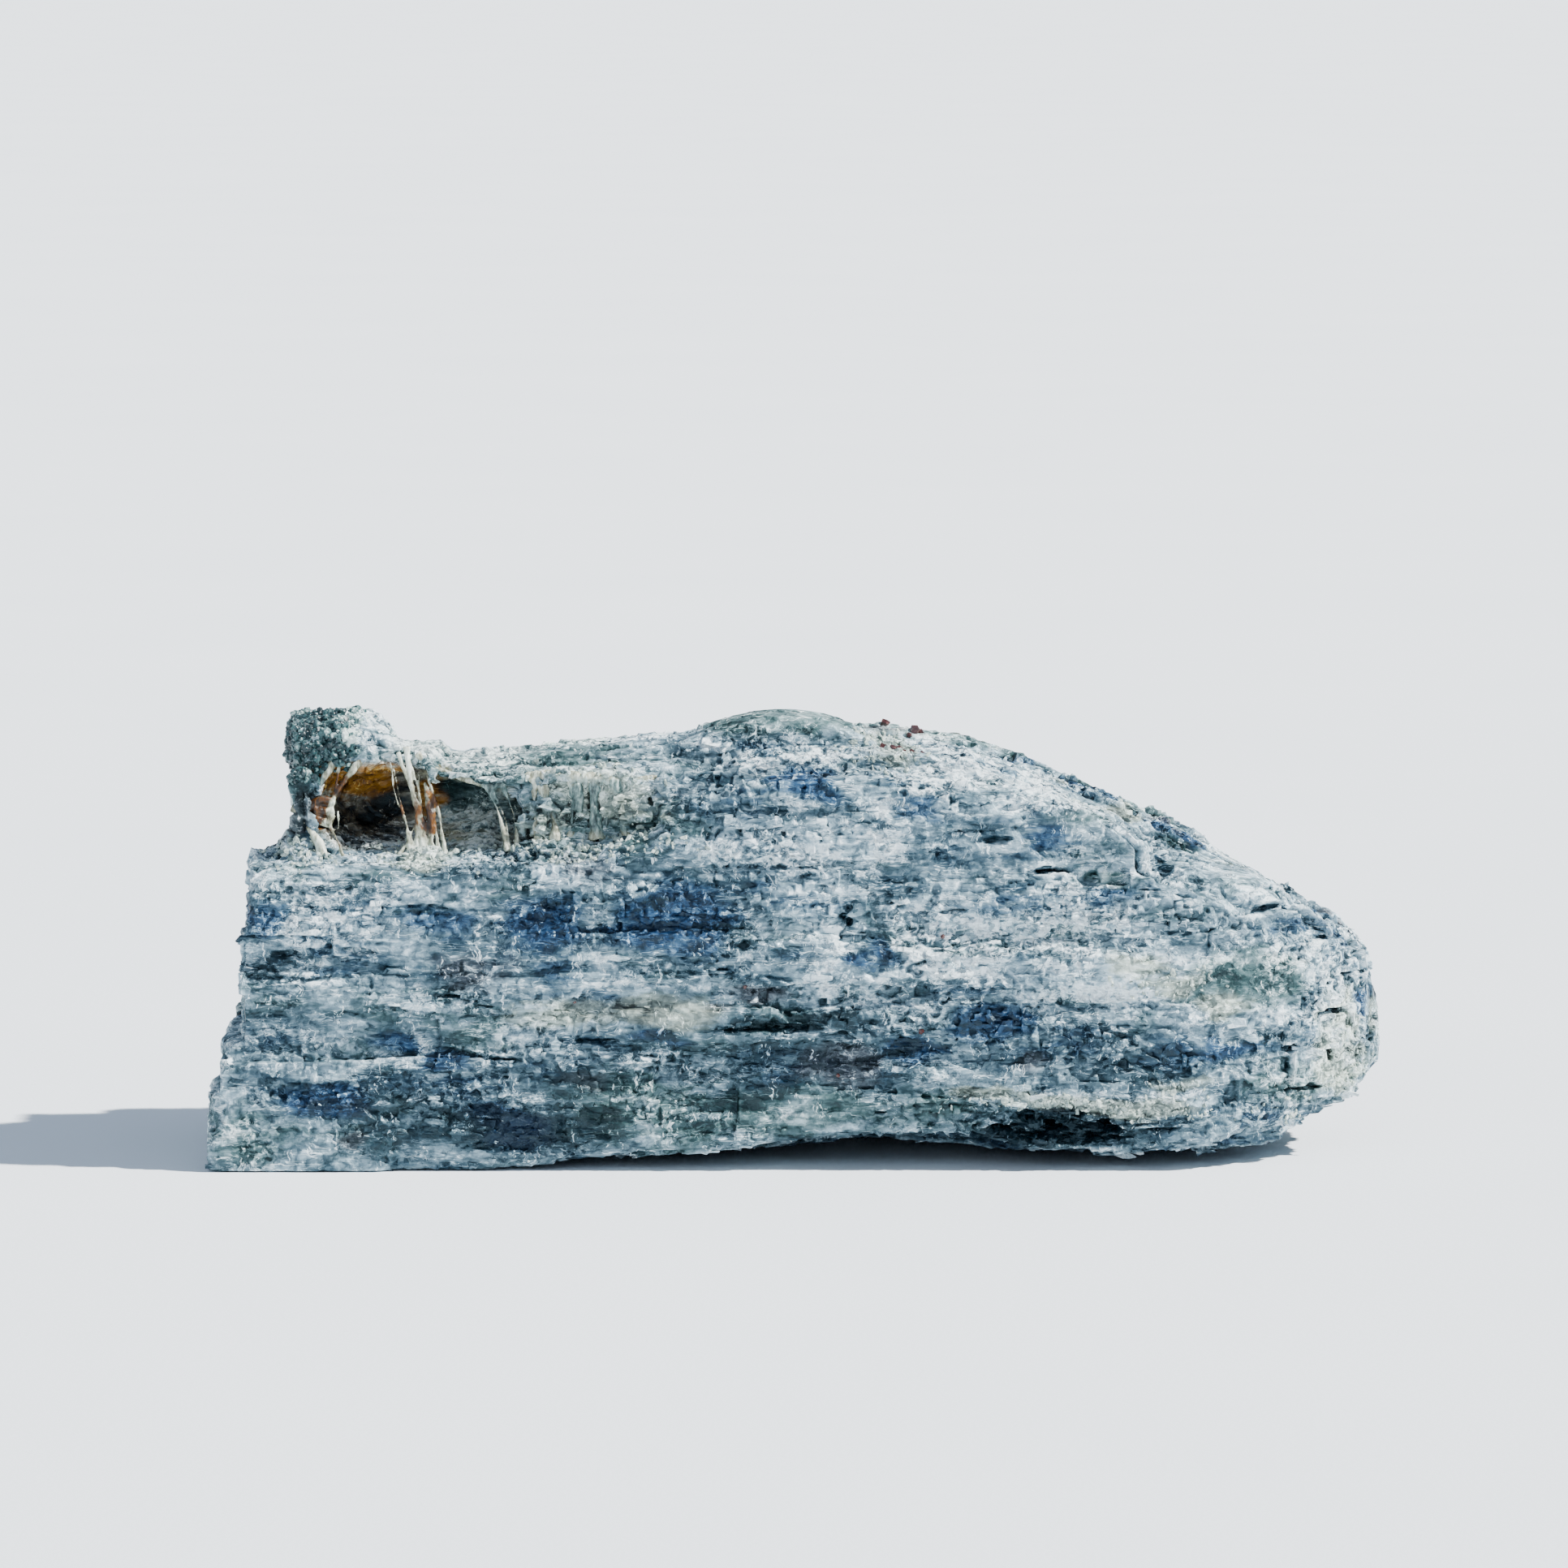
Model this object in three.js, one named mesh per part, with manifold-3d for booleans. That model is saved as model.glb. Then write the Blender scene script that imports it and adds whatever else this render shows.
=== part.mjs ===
// A kyanite blade cluster: one natural stone of long flat blades grown together side by side.
// The blades lie along X, their broad faces look along -Y and +Y, and the stone rests on Z = 0.
// Each blade is an outline in the XZ plane pushed through along Y; the overlapping blades are joined
// into one solid, hollowed under the crest, narrowed in plan towards the nose and cut flat where it rests.
// Units are millimetres.
import * as THREE from "three";
import { mergeVertices } from "three/addons/utils/BufferGeometryUtils.js";
import Module from "manifold-3d";

const length = 110; // along X, from the stepped end to the nose
const depth = 32; // along Y, front face to back face
const height = 41.5; // along Z, floor to the top of the lens blade
const halfLength = length / 2;
const frontFace = -depth / 2;
const backFace = depth / 2;
const skinRelief = 0.7; // how far the skin blades may stand proud of the blade that carries them
const ledgeTop = 28.6; // the shelf in front of the hollow, where the front blades end
const mergeDistance = 1e-4;

const wasm = await Module();
wasm.setup();

// A closed three.js geometry as a manifold-3d solid.
function toSolid(geometry) {
  geometry.deleteAttribute("normal");
  geometry.deleteAttribute("uv");
  const merged = mergeVertices(geometry, mergeDistance);
  const mesh = new wasm.Mesh({
    numProp: 3,
    vertProperties: merged.attributes.position.array,
    triVerts: new Uint32Array(merged.index.array),
  });
  return new wasm.Manifold(mesh);
}

// A manifold-3d solid back as a geometry with flat faces.
function toGeometry(solid) {
  const mesh = solid.getMesh();
  const positions = new THREE.BufferAttribute(new Float32Array(mesh.vertProperties), 3);
  const geometry = new THREE.BufferGeometry();
  geometry.setAttribute("position", positions);
  geometry.setIndex(new THREE.BufferAttribute(new Uint32Array(mesh.triVerts), 1));
  const facets = geometry.toNonIndexed();
  facets.computeVertexNormals();
  return facets;
}

function shapeOf(points) {
  return new THREE.Shape(points.map(([a, b]) => new THREE.Vector2(a, b)));
}

// One blade: its XZ outline, the Y of its front and back faces, the bevel round its rims,
// and how far it is turned about Z (yaw) and about X (lean), in degrees, about its own middle.
function blade({ outline, front, back, bevel = 0.6, yaw = 0, lean = 0 }) {
  const geometry = new THREE.ExtrudeGeometry(shapeOf(outline), {
    depth: back - front - 2 * bevel,
    bevelThickness: bevel,
    bevelSize: bevel,
    bevelOffset: -bevel,
    bevelSegments: 1,
  });
  geometry.rotateX(Math.PI / 2); // the outline's second number becomes Z, and its depth runs to -Y
  geometry.translate(0, back - bevel, 0);
  const middle = new THREE.Box3()
    .setFromBufferAttribute(geometry.attributes.position)
    .getCenter(new THREE.Vector3());
  geometry.translate(-middle.x, -middle.y, -middle.z);
  geometry.rotateX(THREE.MathUtils.degToRad(lean));
  geometry.rotateZ(THREE.MathUtils.degToRad(yaw));
  geometry.translate(middle.x, middle.y, middle.z);
  return toSolid(geometry);
}

// A stretched ball, for cutting a rounded hollow.
function ball({ centre, radii, roll = 0 }) {
  const geometry = new THREE.SphereGeometry(1, 24, 14);
  geometry.scale(...radii);
  geometry.rotateY(THREE.MathUtils.degToRad(roll));
  geometry.translate(...centre);
  return toSolid(geometry);
}

// The front blade: stepped at its broken left end, low under the ledge, and lifted off the floor midway.
const frontBlade = blade({
  front: frontFace + skinRelief,
  back: -8.5,
  bevel: 0.5,
  outline: [
    [-55, -1], [-55, 6.2], [-54, 7.2], [-53.8, 10.7], [-52.7, 12], [-52.7, 15.2], [-52, 18], [-52.1, 22.4],
    [-51.6, 27.6], [-49, ledgeTop], [-34, ledgeTop], [-19, 29], [-13, 31], [-9, 34.4], [-2, 36.4], [8, 36.8],
    [15, 36.2], [20, 33.2], [23, 29.6], [27, 27.4], [33, 27.8], [40, 24.8], [46, 20.5], [50, 15], [51, 10.5],
    [49.5, 7], [45, 4], [38, 2.6], [30, 2], [23, 2.2], [17, 3.6], [8, 3.3], [1, 2.9], [-6, 1.9], [-16, 1.2],
    [-26, 0.5], [-33, -1],
  ],
});

// The second blade reaches past the front one at the top and the nose, and carries the belly.
const secondBlade = blade({
  front: -11,
  back: -2,
  bevel: 0.7,
  outline: [
    [-54, -1], [-53.6, 9.4], [-52.2, 14], [-51.4, 24], [-50.8, 28], [-46, 29], [-20, 29.4], [-14, 33], [-10, 36],
    [-5, 38], [8, 38.6], [17, 37.6], [23.4, 35], [30, 32.2], [32.6, 29.3], [39.3, 27.2], [44, 25.8], [47, 23.2],
    [50, 21.6], [52.6, 19], [54, 15], [54.9, 12.4], [54.6, 9.6], [53.4, 7.2], [50.8, 5.2], [47.2, 3.6], [44, 1.8],
    [37, 0.3], [31, -0.8], [25, 0.2], [18, 2], [8, 2.6], [-4, 1.4], [-20, 0.6], [-30, -1],
  ],
});

// The middle of the stone, with the belly that takes its weight.
const middleBlade = blade({
  front: -4,
  back: 8,
  bevel: 1.2,
  lean: -1,
  outline: [
    [-53.4, -1], [-53, 13], [-51.6, 20], [-50, 27.4], [-46, 29.2], [-22, 30], [-14, 36.5], [-6, 38.6], [6, 39.2],
    [17, 37.6], [24, 34.8], [31, 32], [39, 27.6], [46, 23.8], [52, 18.6], [55, 13], [54.6, 9], [51, 5.2], [45, 2.2],
    [38, -0.4], [31, -1.4], [23, -0.2], [14, 1.4], [-4, 1.4], [-20, 0.4], [-28, -1],
  ],
});

// The crest stands behind the ledge, over the hollow, and runs into the body on its right.
const crestBlade = blade({
  front: -6,
  back: 4.5,
  bevel: 0.6,
  outline: [
    [-47, 26], [-47.2, 33], [-47, 40.4], [-44, 41], [-41, 41.2], [-39.6, 40], [-38.2, 38.6], [-35, 38.4],
    [-33.4, 37.2], [-27, 37.7], [-20, 38], [-13, 38.6], [-6, 38.8], [6, 38], [6, 26],
  ],
});

// The lip hangs in front of the hollow like a curtain, deeper towards the right where the hollow closes.
const lipBlade = blade({
  front: -8.6,
  back: -4,
  bevel: 0.5,
  yaw: -3,
  outline: [
    [-38.6, 37.8], [-35, 38.2], [-33.2, 37.2], [-27, 36.8], [-20, 37], [-12, 37.2], [-8, 36.2], [-8, 29],
    [-14, 30.6], [-18, 32], [-24, 33.2], [-30, 34.8], [-34, 36.2],
  ],
});

// The rough knob at the crest's free end, and the foot it stands on.
const knobBlade = blade({
  front: -8.2,
  back: 1.5,
  bevel: 0.9,
  yaw: 4,
  outline: [[-47, 35.6], [-47, 40.6], [-43.4, 41.3], [-40.4, 40.4], [-38.4, 38], [-40.6, 36.6], [-43.6, 35.4]],
});

const knobFoot = blade({
  front: -9,
  back: 2,
  bevel: 0.9,
  outline: [[-47.4, 27.6], [-47, 36.4], [-44.6, 36.4], [-44.2, 32.4], [-43, 29.8], [-42, 27.6]],
});

// The pale lens-shaped blade on top, its upper rim an arc.
function lensBlade() {
  const left = -12;
  const right = 9.6;
  const bottom = 36;
  const rim = 37.4;
  const crown = height;
  const span = right - left;
  const steps = 10;
  const outline = [[right, bottom], [left, bottom]];
  for (let i = 0; i <= steps; i += 1) {
    const share = i / steps;
    outline.push([left + span * share, rim + (crown - rim) * Math.sin(Math.PI * share) ** 0.75]);
  }
  return blade({ front: -6.5, back: 2.5, bevel: 0.6, yaw: 2, outline: outline.reverse() });
}

// The overlapping slab on the right shoulder, with a dark slot under it.
const shoulderBlade = blade({
  front: -14.6,
  back: -7,
  bevel: 0.5,
  yaw: -2,
  outline: [
    [16, 35.6], [21, 35.4], [25, 34.2], [29.4, 32.6], [32.4, 30.2], [32.2, 28.3], [27, 28.2], [22, 28.6], [18, 30],
  ],
});

// Two stubby crystals that step down the flank to the nose.
const flankBlade = blade({
  front: -12.6,
  back: -3,
  bevel: 0.8,
  yaw: 3,
  outline: [[33, 26], [35.6, 28.4], [39.4, 27.6], [43.2, 26.8], [45.8, 25.2], [47, 23], [44, 22.2], [38, 23.6]],
});

const noseBlade = blade({
  front: -9,
  back: 3,
  bevel: 0.9,
  yaw: -4,
  outline: [[45, 14], [46.4, 23.4], [50, 22], [52.6, 19.6], [54, 16.4], [54.8, 12], [52, 9.4], [47, 10]],
});

// The blades behind the middle step down in height and length.
const backBlade = blade({
  front: 6,
  back: 12.5,
  bevel: 0.8,
  yaw: 1,
  outline: [
    [-51, -1], [-50.6, 8], [-49, 9.6], [-48.6, 21], [-46, 22.4], [-45.6, 30.6], [-36, 32.4], [-22, 33.4], [-10, 36.6],
    [4, 37.2], [14, 34.6], [26, 31], [36, 26.4], [44, 21], [49, 15], [50.4, 9], [46, 4.4], [38, 1.6], [26, 0.8],
    [10, 1.8], [-8, 1.4], [-24, -1],
  ],
});

const rearBlade = blade({
  front: 10.5,
  back: backFace - skinRelief,
  bevel: 0.7,
  yaw: -1,
  outline: [
    [-47.4, -1], [-47, 13.6], [-44.4, 15], [-44, 24.2], [-38, 26.4], [-20, 28.2], [-4, 31], [9, 29.6], [20, 26.2],
    [31, 22.4], [40, 16.2], [43.6, 10], [42, 5], [34, 2.2], [20, 1.6], [4, 2.4], [-12, 1.2], [-26, -1],
  ],
});

const rearStep = blade({
  front: 11,
  back: 15.2,
  bevel: 0.6,
  outline: [[-30, 26], [-28.4, 31.4], [-12, 33.6], [-2, 34], [3, 31.6], [2, 26]],
});

// A skin blade: a long low blade lying on a broad face, its ends broken a little aslant.
// stand is its share of the skin relief, and side is -1 on the front face and 1 on the back.
function skinBlade([left, right, bottom, top, stand], side) {
  const slant = (top - bottom) * 0.3;
  const root = 3; // how deep the blade is set into its carrier
  const face = side * (depth / 2 - skinRelief * (1 - stand));
  return blade({
    front: side < 0 ? face : face - root,
    back: side < 0 ? face + root : face,
    bevel: 0.3,
    outline: [
      [left, bottom + slant], [left + slant, top], [right - 2 * slant, top], [right, top - slant],
      [right - slant, bottom], [left + slant, bottom],
    ],
  });
}

// Each row is left, right, bottom, top and stand.
const frontSkin = [
  [-55, -36.5, -1, 6.6, 1], [-54, -12, 6.2, 10.8, 0.6], [-52.6, -20, 14.6, 18.4, 0.9], [-51.8, -33, 21.5, 28.2, 0.7],
  [-28, 6, 17.6, 22.4, 1], [-22, 2, 23, 26.5, 0.4], [-38, -2, 2.5, 5.8, 0.5], [-19, 19, 12.2, 15.2, 0.9],
  [-6, 26, 6.4, 10.2, 0.6], [4, 33, 17.2, 21.2, 0.8], [-8, 14, 29, 33, 0.7], [14, 42, 10.8, 14.6, 1],
  [12, 30, 23, 26.6, 0.9], [21, 40, 4.6, 8.6, 0.7],
].map((row) => skinBlade(row, -1));

const rearSkin = [
  [-46, -19, 3, 8, 1], [-43, -5, 11, 16, 0.6], [-30, 12, 18, 23, 0.9], [-10, 25, 5, 10, 0.8], [5, 35, 12, 17, 1],
].map((row) => skinBlade(row, 1));

// Everything that has grown together overlaps, so it joins into one solid.
const blades = [
  frontBlade, secondBlade, middleBlade, crestBlade, lipBlade, knobBlade, knobFoot, lensBlade(),
  shoulderBlade, flankBlade, noseBlade, backBlade, rearBlade, rearStep, ...frontSkin, ...rearSkin,
];

// The hollow under the crest: two stretched balls, the second one narrower, to the right.
const hollows = [
  ball({ centre: [-35.6, -6.4, 32.9], radii: [9.4, 8.2, 4.1], roll: -3 }),
  ball({ centre: [-25.5, -7.2, 31.6], radii: [9.2, 6.6, 2.7], roll: 5 }),
];

// Seen from above, the stone keeps its full depth on the left and rounds off to the nose.
function planLimit() {
  const outline = [
    [-halfLength, frontFace], [29, frontFace], [38, -15.2], [45, -12.6], [50.4, -8.8], [53.8, -4.4], [halfLength, 0],
    [54.4, 4], [51, 8.2], [44, 12.4], [34, 15.2], [24, backFace], [-45, backFace], [-50.5, 13.4], [-54, 7],
    [-halfLength, 1],
  ];
  const geometry = new THREE.ExtrudeGeometry(shapeOf(outline), { depth: height, bevelEnabled: false });
  return toSolid(geometry);
}

function growCluster() {
  const joined = blades.reduce((whole, piece) => whole.add(piece));
  const hollowed = hollows.reduce((whole, piece) => whole.subtract(piece), joined);
  return hollowed.intersect(planLimit());
}

const kyanite = new THREE.Mesh(
  toGeometry(growCluster()),
  new THREE.MeshStandardMaterial({ color: 0x768c97, roughness: 0.45, metalness: 0, flatShading: true }),
);
kyanite.name = "kyanite_cluster";

const cluster = new THREE.Group();
cluster.add(kyanite);

export default cluster;
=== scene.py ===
import itertools
import math
import bmesh
import bpy
import numpy as np
from mathutils import Euler, Matrix, Vector
from mathutils.bvhtree import BVHTree


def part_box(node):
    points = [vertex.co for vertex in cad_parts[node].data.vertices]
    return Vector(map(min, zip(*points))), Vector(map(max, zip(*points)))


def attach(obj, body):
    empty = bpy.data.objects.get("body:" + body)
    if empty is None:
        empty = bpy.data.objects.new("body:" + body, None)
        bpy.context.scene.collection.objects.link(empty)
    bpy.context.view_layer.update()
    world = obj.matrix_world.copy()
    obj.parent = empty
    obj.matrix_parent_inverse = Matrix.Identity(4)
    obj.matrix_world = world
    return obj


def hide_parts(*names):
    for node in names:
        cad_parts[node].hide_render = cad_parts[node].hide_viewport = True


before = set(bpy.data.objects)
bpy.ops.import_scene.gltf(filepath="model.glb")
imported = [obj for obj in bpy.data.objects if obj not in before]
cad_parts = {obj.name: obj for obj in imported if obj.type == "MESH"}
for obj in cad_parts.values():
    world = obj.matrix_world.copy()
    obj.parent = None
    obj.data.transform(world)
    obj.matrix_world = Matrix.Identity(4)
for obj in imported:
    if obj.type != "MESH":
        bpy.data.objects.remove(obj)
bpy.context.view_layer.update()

mm = 0.001  # every shape below is worked out in millimetres and becomes metres when its piece is finished
stoneLow, stoneHigh = (np.array(corner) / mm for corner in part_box("kyanite_cluster"))
leftEnd, frontFace, floorLevel = stoneLow
noseTip = stoneHigh[0]
proud = 0.4  # how far the finest flakes may stand out of the stone's box
scene = bpy.context.scene


view = {
    "distance": 700,  # from the front face to the lens
    "elevation": 7,  # degrees above the floor
    "frameWidth": 144.6,  # how much of the front face's plane the picture spans
    "aimAcross": -1,
    "aimHeight": 36.3,
    "sensor": 36,
    "nearest": 0.01,  # what is seen, in metres from the lens
    "farthest": 40,
}


def setCamera():
    camera = bpy.data.cameras.new("camera")
    camera.sensor_width = view["sensor"]
    camera.lens = camera.sensor_width * view["distance"] / view["frameWidth"]
    camera.clip_start = view["nearest"]
    camera.clip_end = view["farthest"]
    holder = bpy.data.objects.new("camera", camera)
    tilt = math.radians(view["elevation"])
    holder.location = (
        view["aimAcross"] * mm,
        (frontFace - view["distance"] * math.cos(tilt)) * mm,
        (view["aimHeight"] + view["distance"] * math.sin(tilt)) * mm,
    )
    holder.rotation_euler = (math.pi / 2 - tilt, 0, 0)
    scene.collection.objects.link(holder)
    scene.camera = holder
    print("camera: set", view["elevation"], "degrees above the floor")


light = {
    "keyElevation": 46,
    "keyAzimuth": 10,  # degrees from +X towards the front
    "keyStrength": 12.0,
    "keySoftness": 2.0,  # degrees across
    "keyColour": (1.0, 0.98, 0.95),
    "fillElevation": 30,
    "fillAzimuth": 110,
    "fillStrength": 0.5,
    "fillSoftness": 40,
    "fillColour": (0.80, 0.88, 1.0),
    "skyStrength": 0.75,
    "skyColour": (0.52, 0.63, 0.80),
}


def addSun(name):  # a distant lamp from the side and height that the light's own entries give
    sun = bpy.data.lights.new(name, "SUN")
    sun.energy = light[name + "Strength"]
    sun.color = light[name + "Colour"]
    sun.angle = math.radians(light[name + "Softness"])
    holder = bpy.data.objects.new(name, sun)
    up = math.radians(light[name + "Elevation"])
    turn = math.radians(light[name + "Azimuth"])
    holder.rotation_euler = (0, math.pi / 2 - up, -turn)
    scene.collection.objects.link(holder)


def setLight():
    addSun("key")
    addSun("fill")
    world = bpy.data.worlds.new("studio")
    world.use_nodes = True
    sky = world.node_tree.nodes["Background"]
    sky.inputs["Color"].default_value = (*light["skyColour"], 1)
    sky.inputs["Strength"].default_value = light["skyStrength"]
    scene.world = world
    print("light: key, fill and sky")


# Random fields over points in millimetres. Every one is drawn on a lattice of its own seed.
latticeSize = 64


def smoothNoise(points, size, seed):  # -1 to 1, one bump about every size millimetres
    lattice = np.random.default_rng(seed).random((latticeSize,) * 3) * 2 - 1
    spot = points / np.array(size)
    base = np.floor(spot).astype(int)
    part = spot - base
    part = part * part * (3 - 2 * part)
    total = np.zeros(len(points))
    for corner in itertools.product((0, 1), repeat=3):
        weight = np.prod(np.where(corner, part, 1 - part), axis=1)
        total += weight * lattice[tuple(((base + corner) % latticeSize).T)]
    return total


def roughNoise(points, size, seed, layers=3):
    size = np.array(size, dtype=float)
    total = 0
    for layer in range(layers):
        total = total + smoothNoise(points, size / 2 ** layer, seed + layer) / 2 ** layer
    return total


def splitIntoBlocks(points, size, seed):  # blocky cells, as the stone cleaves: a level and a lean for each
    random = np.random.default_rng(seed)
    jitter = random.random((latticeSize,) * 3 + (3,)) * 0.9 - 0.45  # no two blocks are of one size
    level = random.random((latticeSize,) * 3) * 2 - 1
    tilt = random.random((latticeSize,) * 3 + (3,)) * 2 - 1
    spot = points / np.array(size)
    base = np.floor(spot).astype(int)
    nearest = np.full(len(points), np.inf)
    blockLevel = np.zeros(len(points))
    blockLean = np.zeros(len(points))
    for step in itertools.product((-1, 0, 1), repeat=3):
        block = base + step
        index = tuple((block % latticeSize).T)
        away = spot - block - 0.5 - jitter[index]
        distance = np.abs(away).max(axis=1)
        closer = distance < nearest
        nearest = np.where(closer, distance, nearest)
        blockLevel = np.where(closer, level[index], blockLevel)
        blockLean = np.where(closer, (away * tilt[index]).sum(axis=1), blockLean)
    return blockLevel, blockLean


def ramp(value, low, high):
    part = np.clip((value - low) / (high - low), 0, 1)
    return part * part * (3 - 2 * part)


def atLeast(least, share):  # a share that never falls below the least
    return least + (1 - least) * share


def insidePatches(points, rows, inner=0.35, outer=1.5):  # how deep each point lies in an oval patch
    found = np.zeros(len(points))
    for across, height, halfWidth, halfHeight, strength in rows:
        reach = np.hypot((points[:, 0] - across) / halfWidth, (points[:, 2] - height) / halfHeight)
        here = strength * (1 - ramp(reach, inner, outer))
        found = np.where(np.abs(here) > np.abs(found), here, found)
    return found


def objectFrom(mesh, name):
    piece = bpy.data.objects.new(name, mesh)
    scene.collection.objects.link(piece)
    return piece


def applied(piece):  # swaps the piece's mesh for the one its modifiers give
    graph = bpy.context.evaluated_depsgraph_get()
    result = bpy.data.meshes.new_from_object(piece.evaluated_get(graph))
    piece.modifiers.clear()
    old = piece.data
    piece.data = result
    bpy.data.meshes.remove(old)
    return piece


def addModifier(piece, kind, **settings):
    modifier = piece.modifiers.new(kind.lower(), kind)
    for name, value in settings.items():
        setattr(modifier, name, value)
    return modifier


def pointsOf(mesh):
    flat = np.empty(len(mesh.vertices) * 3)
    mesh.vertices.foreach_get("co", flat)
    return flat.reshape(-1, 3)


def normalsOf(mesh):
    flat = np.empty(len(mesh.vertices) * 3)
    mesh.vertex_normals.foreach_get("vector", flat)
    return flat.reshape(-1, 3)


def edgesOf(mesh):
    flat = np.empty(len(mesh.edges) * 2, dtype=np.int32)
    mesh.edges.foreach_get("vertices", flat)
    return flat.reshape(-1, 2)


def movePoints(mesh, points):
    mesh.vertices.foreach_set("co", points.ravel())
    mesh.update()


def averaged(values, edges, rounds, pull=0.5):  # values pulled towards those of their neighbours
    first, last = edges.T
    count = len(values)
    valence = np.maximum(np.bincount(first, minlength=count) + np.bincount(last, minlength=count), 1)
    values = values.copy()
    for _ in range(rounds):
        for axis in range(values.shape[1]):
            column = values[:, axis]
            total = np.bincount(first, column[last], count) + np.bincount(last, column[first], count)
            values[:, axis] = column + pull * (total / valence - column)
    return values


def store(mesh, name, values):
    attribute = mesh.attributes.get(name) or mesh.attributes.new(name, "FLOAT", "POINT")
    attribute.data.foreach_set("value", values.astype(np.float32))


def toMetres(piece):  # presses back what stands out of the stone's box, so nothing sinks into the floor
    points = pointsOf(piece.data)
    low = stoneLow + (0, 0, proud)
    for side, out in ((-1, np.maximum(points - stoneHigh, 0)), (1, np.maximum(low - points, 0))):
        points += side * (out - proud * (1 - np.exp(-out / proud)))
    movePoints(piece.data, points * mm)
    return piece


# The stone's own shape.
stone = {
    "coarseVoxel": 0.42,  # the first mesh, on which the big forms are rounded
    "fineVoxel": 0.21,
    "triangles": 190000,
    "endRounds": 1,  # smoothing rounds on the broken left end, the body and the nose
    "bodyRounds": 3,
    "noseRounds": 14,
    "fineRounds": 2,  # and on the fine mesh before it is broken up
    "outwardRounds": 6,  # for the direction in which the surface is broken
    "reliefRounds": 8,  # ridges and gaps are measured from the surface smoothed this often
    "brokenEnd": (7, 3),  # the left end keeps its edges: from none to all of them, this far from its tip
    "nose": (30, 50),  # where the rounding of the nose starts and where it is full
    "crestHeight": (29, 31.5),  # the crest left of the lens is moved right and lowered a little
    "crestAcross": (18, 36),
    "crestShift": 0.75,
    "crestDrop": 0.6,
    "crestDropHeight": (34, 39),
    "endSteps": [(-1, -54.3), (7.3, -53.1), (12.4, -51.3), (22.0, -50.4)],  # from this height up, cut here
    "endWander": 0.6,  # how far the steps stray from level, in bumps of the next size
    "endWanderSize": (9, 3, 9),
    "endEdge": 0.15,  # how soft a step's edge is
    "bellyLift": 2.4,  # the belly stands this far off the floor
    "bellyStart": (10, 20),  # across the stone, where it leaves the floor
    "bellyRise": 0.12,  # its foot falls away to the back by this slope
    "capTop": 41.3,  # the knob slopes down to the right, from this height and by this much
    "capFall": 2.4,
    "capAcross": (-41.2, -37.4),
    "capBack": 0.12,  # and as steeply as this towards the back, from here on
    "capBackFrom": -8,
    "capPress": 0.85,  # how much of what stands above that slope is pressed down
    "capEnd": (33, 35),  # the knob ends between these distances left of the middle
}

# How the surface breaks up: blocks of a length, thickness and height, and how far they step and lean.
breakage = {
    "blades": [
        {"size": (26, 2.7, 4.6), "step": 0.38, "tilt": 0.10, "seed": 11},
        {"size": (11, 1.3, 1.7), "step": 0.22, "tilt": 0.10, "seed": 12},
        {"size": (3.6, 0.7, 0.8), "step": 0.13, "tilt": 0.12, "seed": 13},
    ],
    "chips": {"size": (0.8, 0.7, 0.9), "step": 0.17, "tilt": 0.26, "seed": 14},
    "ends": {"size": (60, 2.1, 3.3), "step": 0.75, "seed": 15},  # blades break off at their own lengths
    "waves": {"size": (26, 11, 9), "step": 0.35, "seed": 31},  # the broad unevenness under all of them
    "lumps": {"size": (1.7, 1.7, 1.5), "step": 0.45, "seed": 43},  # on the knob
    "bend": (0.8, 0.35, 0.45),  # how far the blocks' edges wander, in bumps of the next size
    "bendSize": (6, 6, 6),
    "noseLoss": 0.45,  # the share of the blades' breakage that the nose and the flat faces lose
    "faceLoss": 0.4,
    "calmLeast": 0.3,  # the share of it that stays in a calm patch
    "endsLeast": 0.25,
    "chipsLeast": 0.3,  # the share of the chips that stays where the stone is least chipped
    "tornDepth": 3.6,  # of the ragged belly
}
# Ovals on the front face: middle (x, z), half width, half height and strength.
raggedBelly = (24, 3.8, 8, 2.1, 1.0)  # a torn stretch along the foot of the belly
crevices = [  # dark gaps, and how deep they are
    (23.9, 28.2, 1.9, 0.42, 1.6), (28.4, 27.3, 2.6, 0.5, 1.0), (4.7, 23.2, 0.3, 1.9, 0.6),
    (44.1, 24.2, 1.0, 0.6, 1.0), (-31.7, 16.4, 1.6, 0.28, 0.5), (-28.9, 15.8, 1.2, 0.2, 0.4),
    (11.0, 19.2, 0.5, 1.0, 0.7), (8.6, 16.8, 1.4, 0.4, 0.6), (-1.5, 13.5, 5.0, 0.45, 0.8),
    (3.6, 12.7, 2.4, 0.3, 0.6), (-46.6, 20.2, 1.9, 0.4, 0.6), (-40.4, 20.6, 1.6, 0.3, 0.5),
    (18.6, 31.0, 1.3, 0.3, 0.6), (35.8, 26.0, 1.3, 0.3, 0.7), (-33.5, 24.6, 3.0, 0.3, 0.4),
    (47.4, 7.2, 2.2, 0.3, 0.6), (50.2, 16.8, 0.4, 1.4, 0.5), (-18.4, 12.2, 2.6, 0.25, 0.5),
    (14.6, 24.4, 2.0, 0.3, 0.5),
]
calmPatches = [  # smooth broken ends and faces, and how calm they are
    (-54, 14, 3.4, 22, 0.8), (-42, 4, 8, 3, 0.5), (41.5, 17.6, 6, 3, 0.8), (42, 26.6, 4.5, 2.2, 0.8),
    (-1.6, 40.6, 10, 2, 0.9), (27, 31, 6, 2.4, 0.6), (54, 14.6, 2.4, 2.4, 0.9), (-36, 33, 9, 4.4, 0.7),
]


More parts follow.
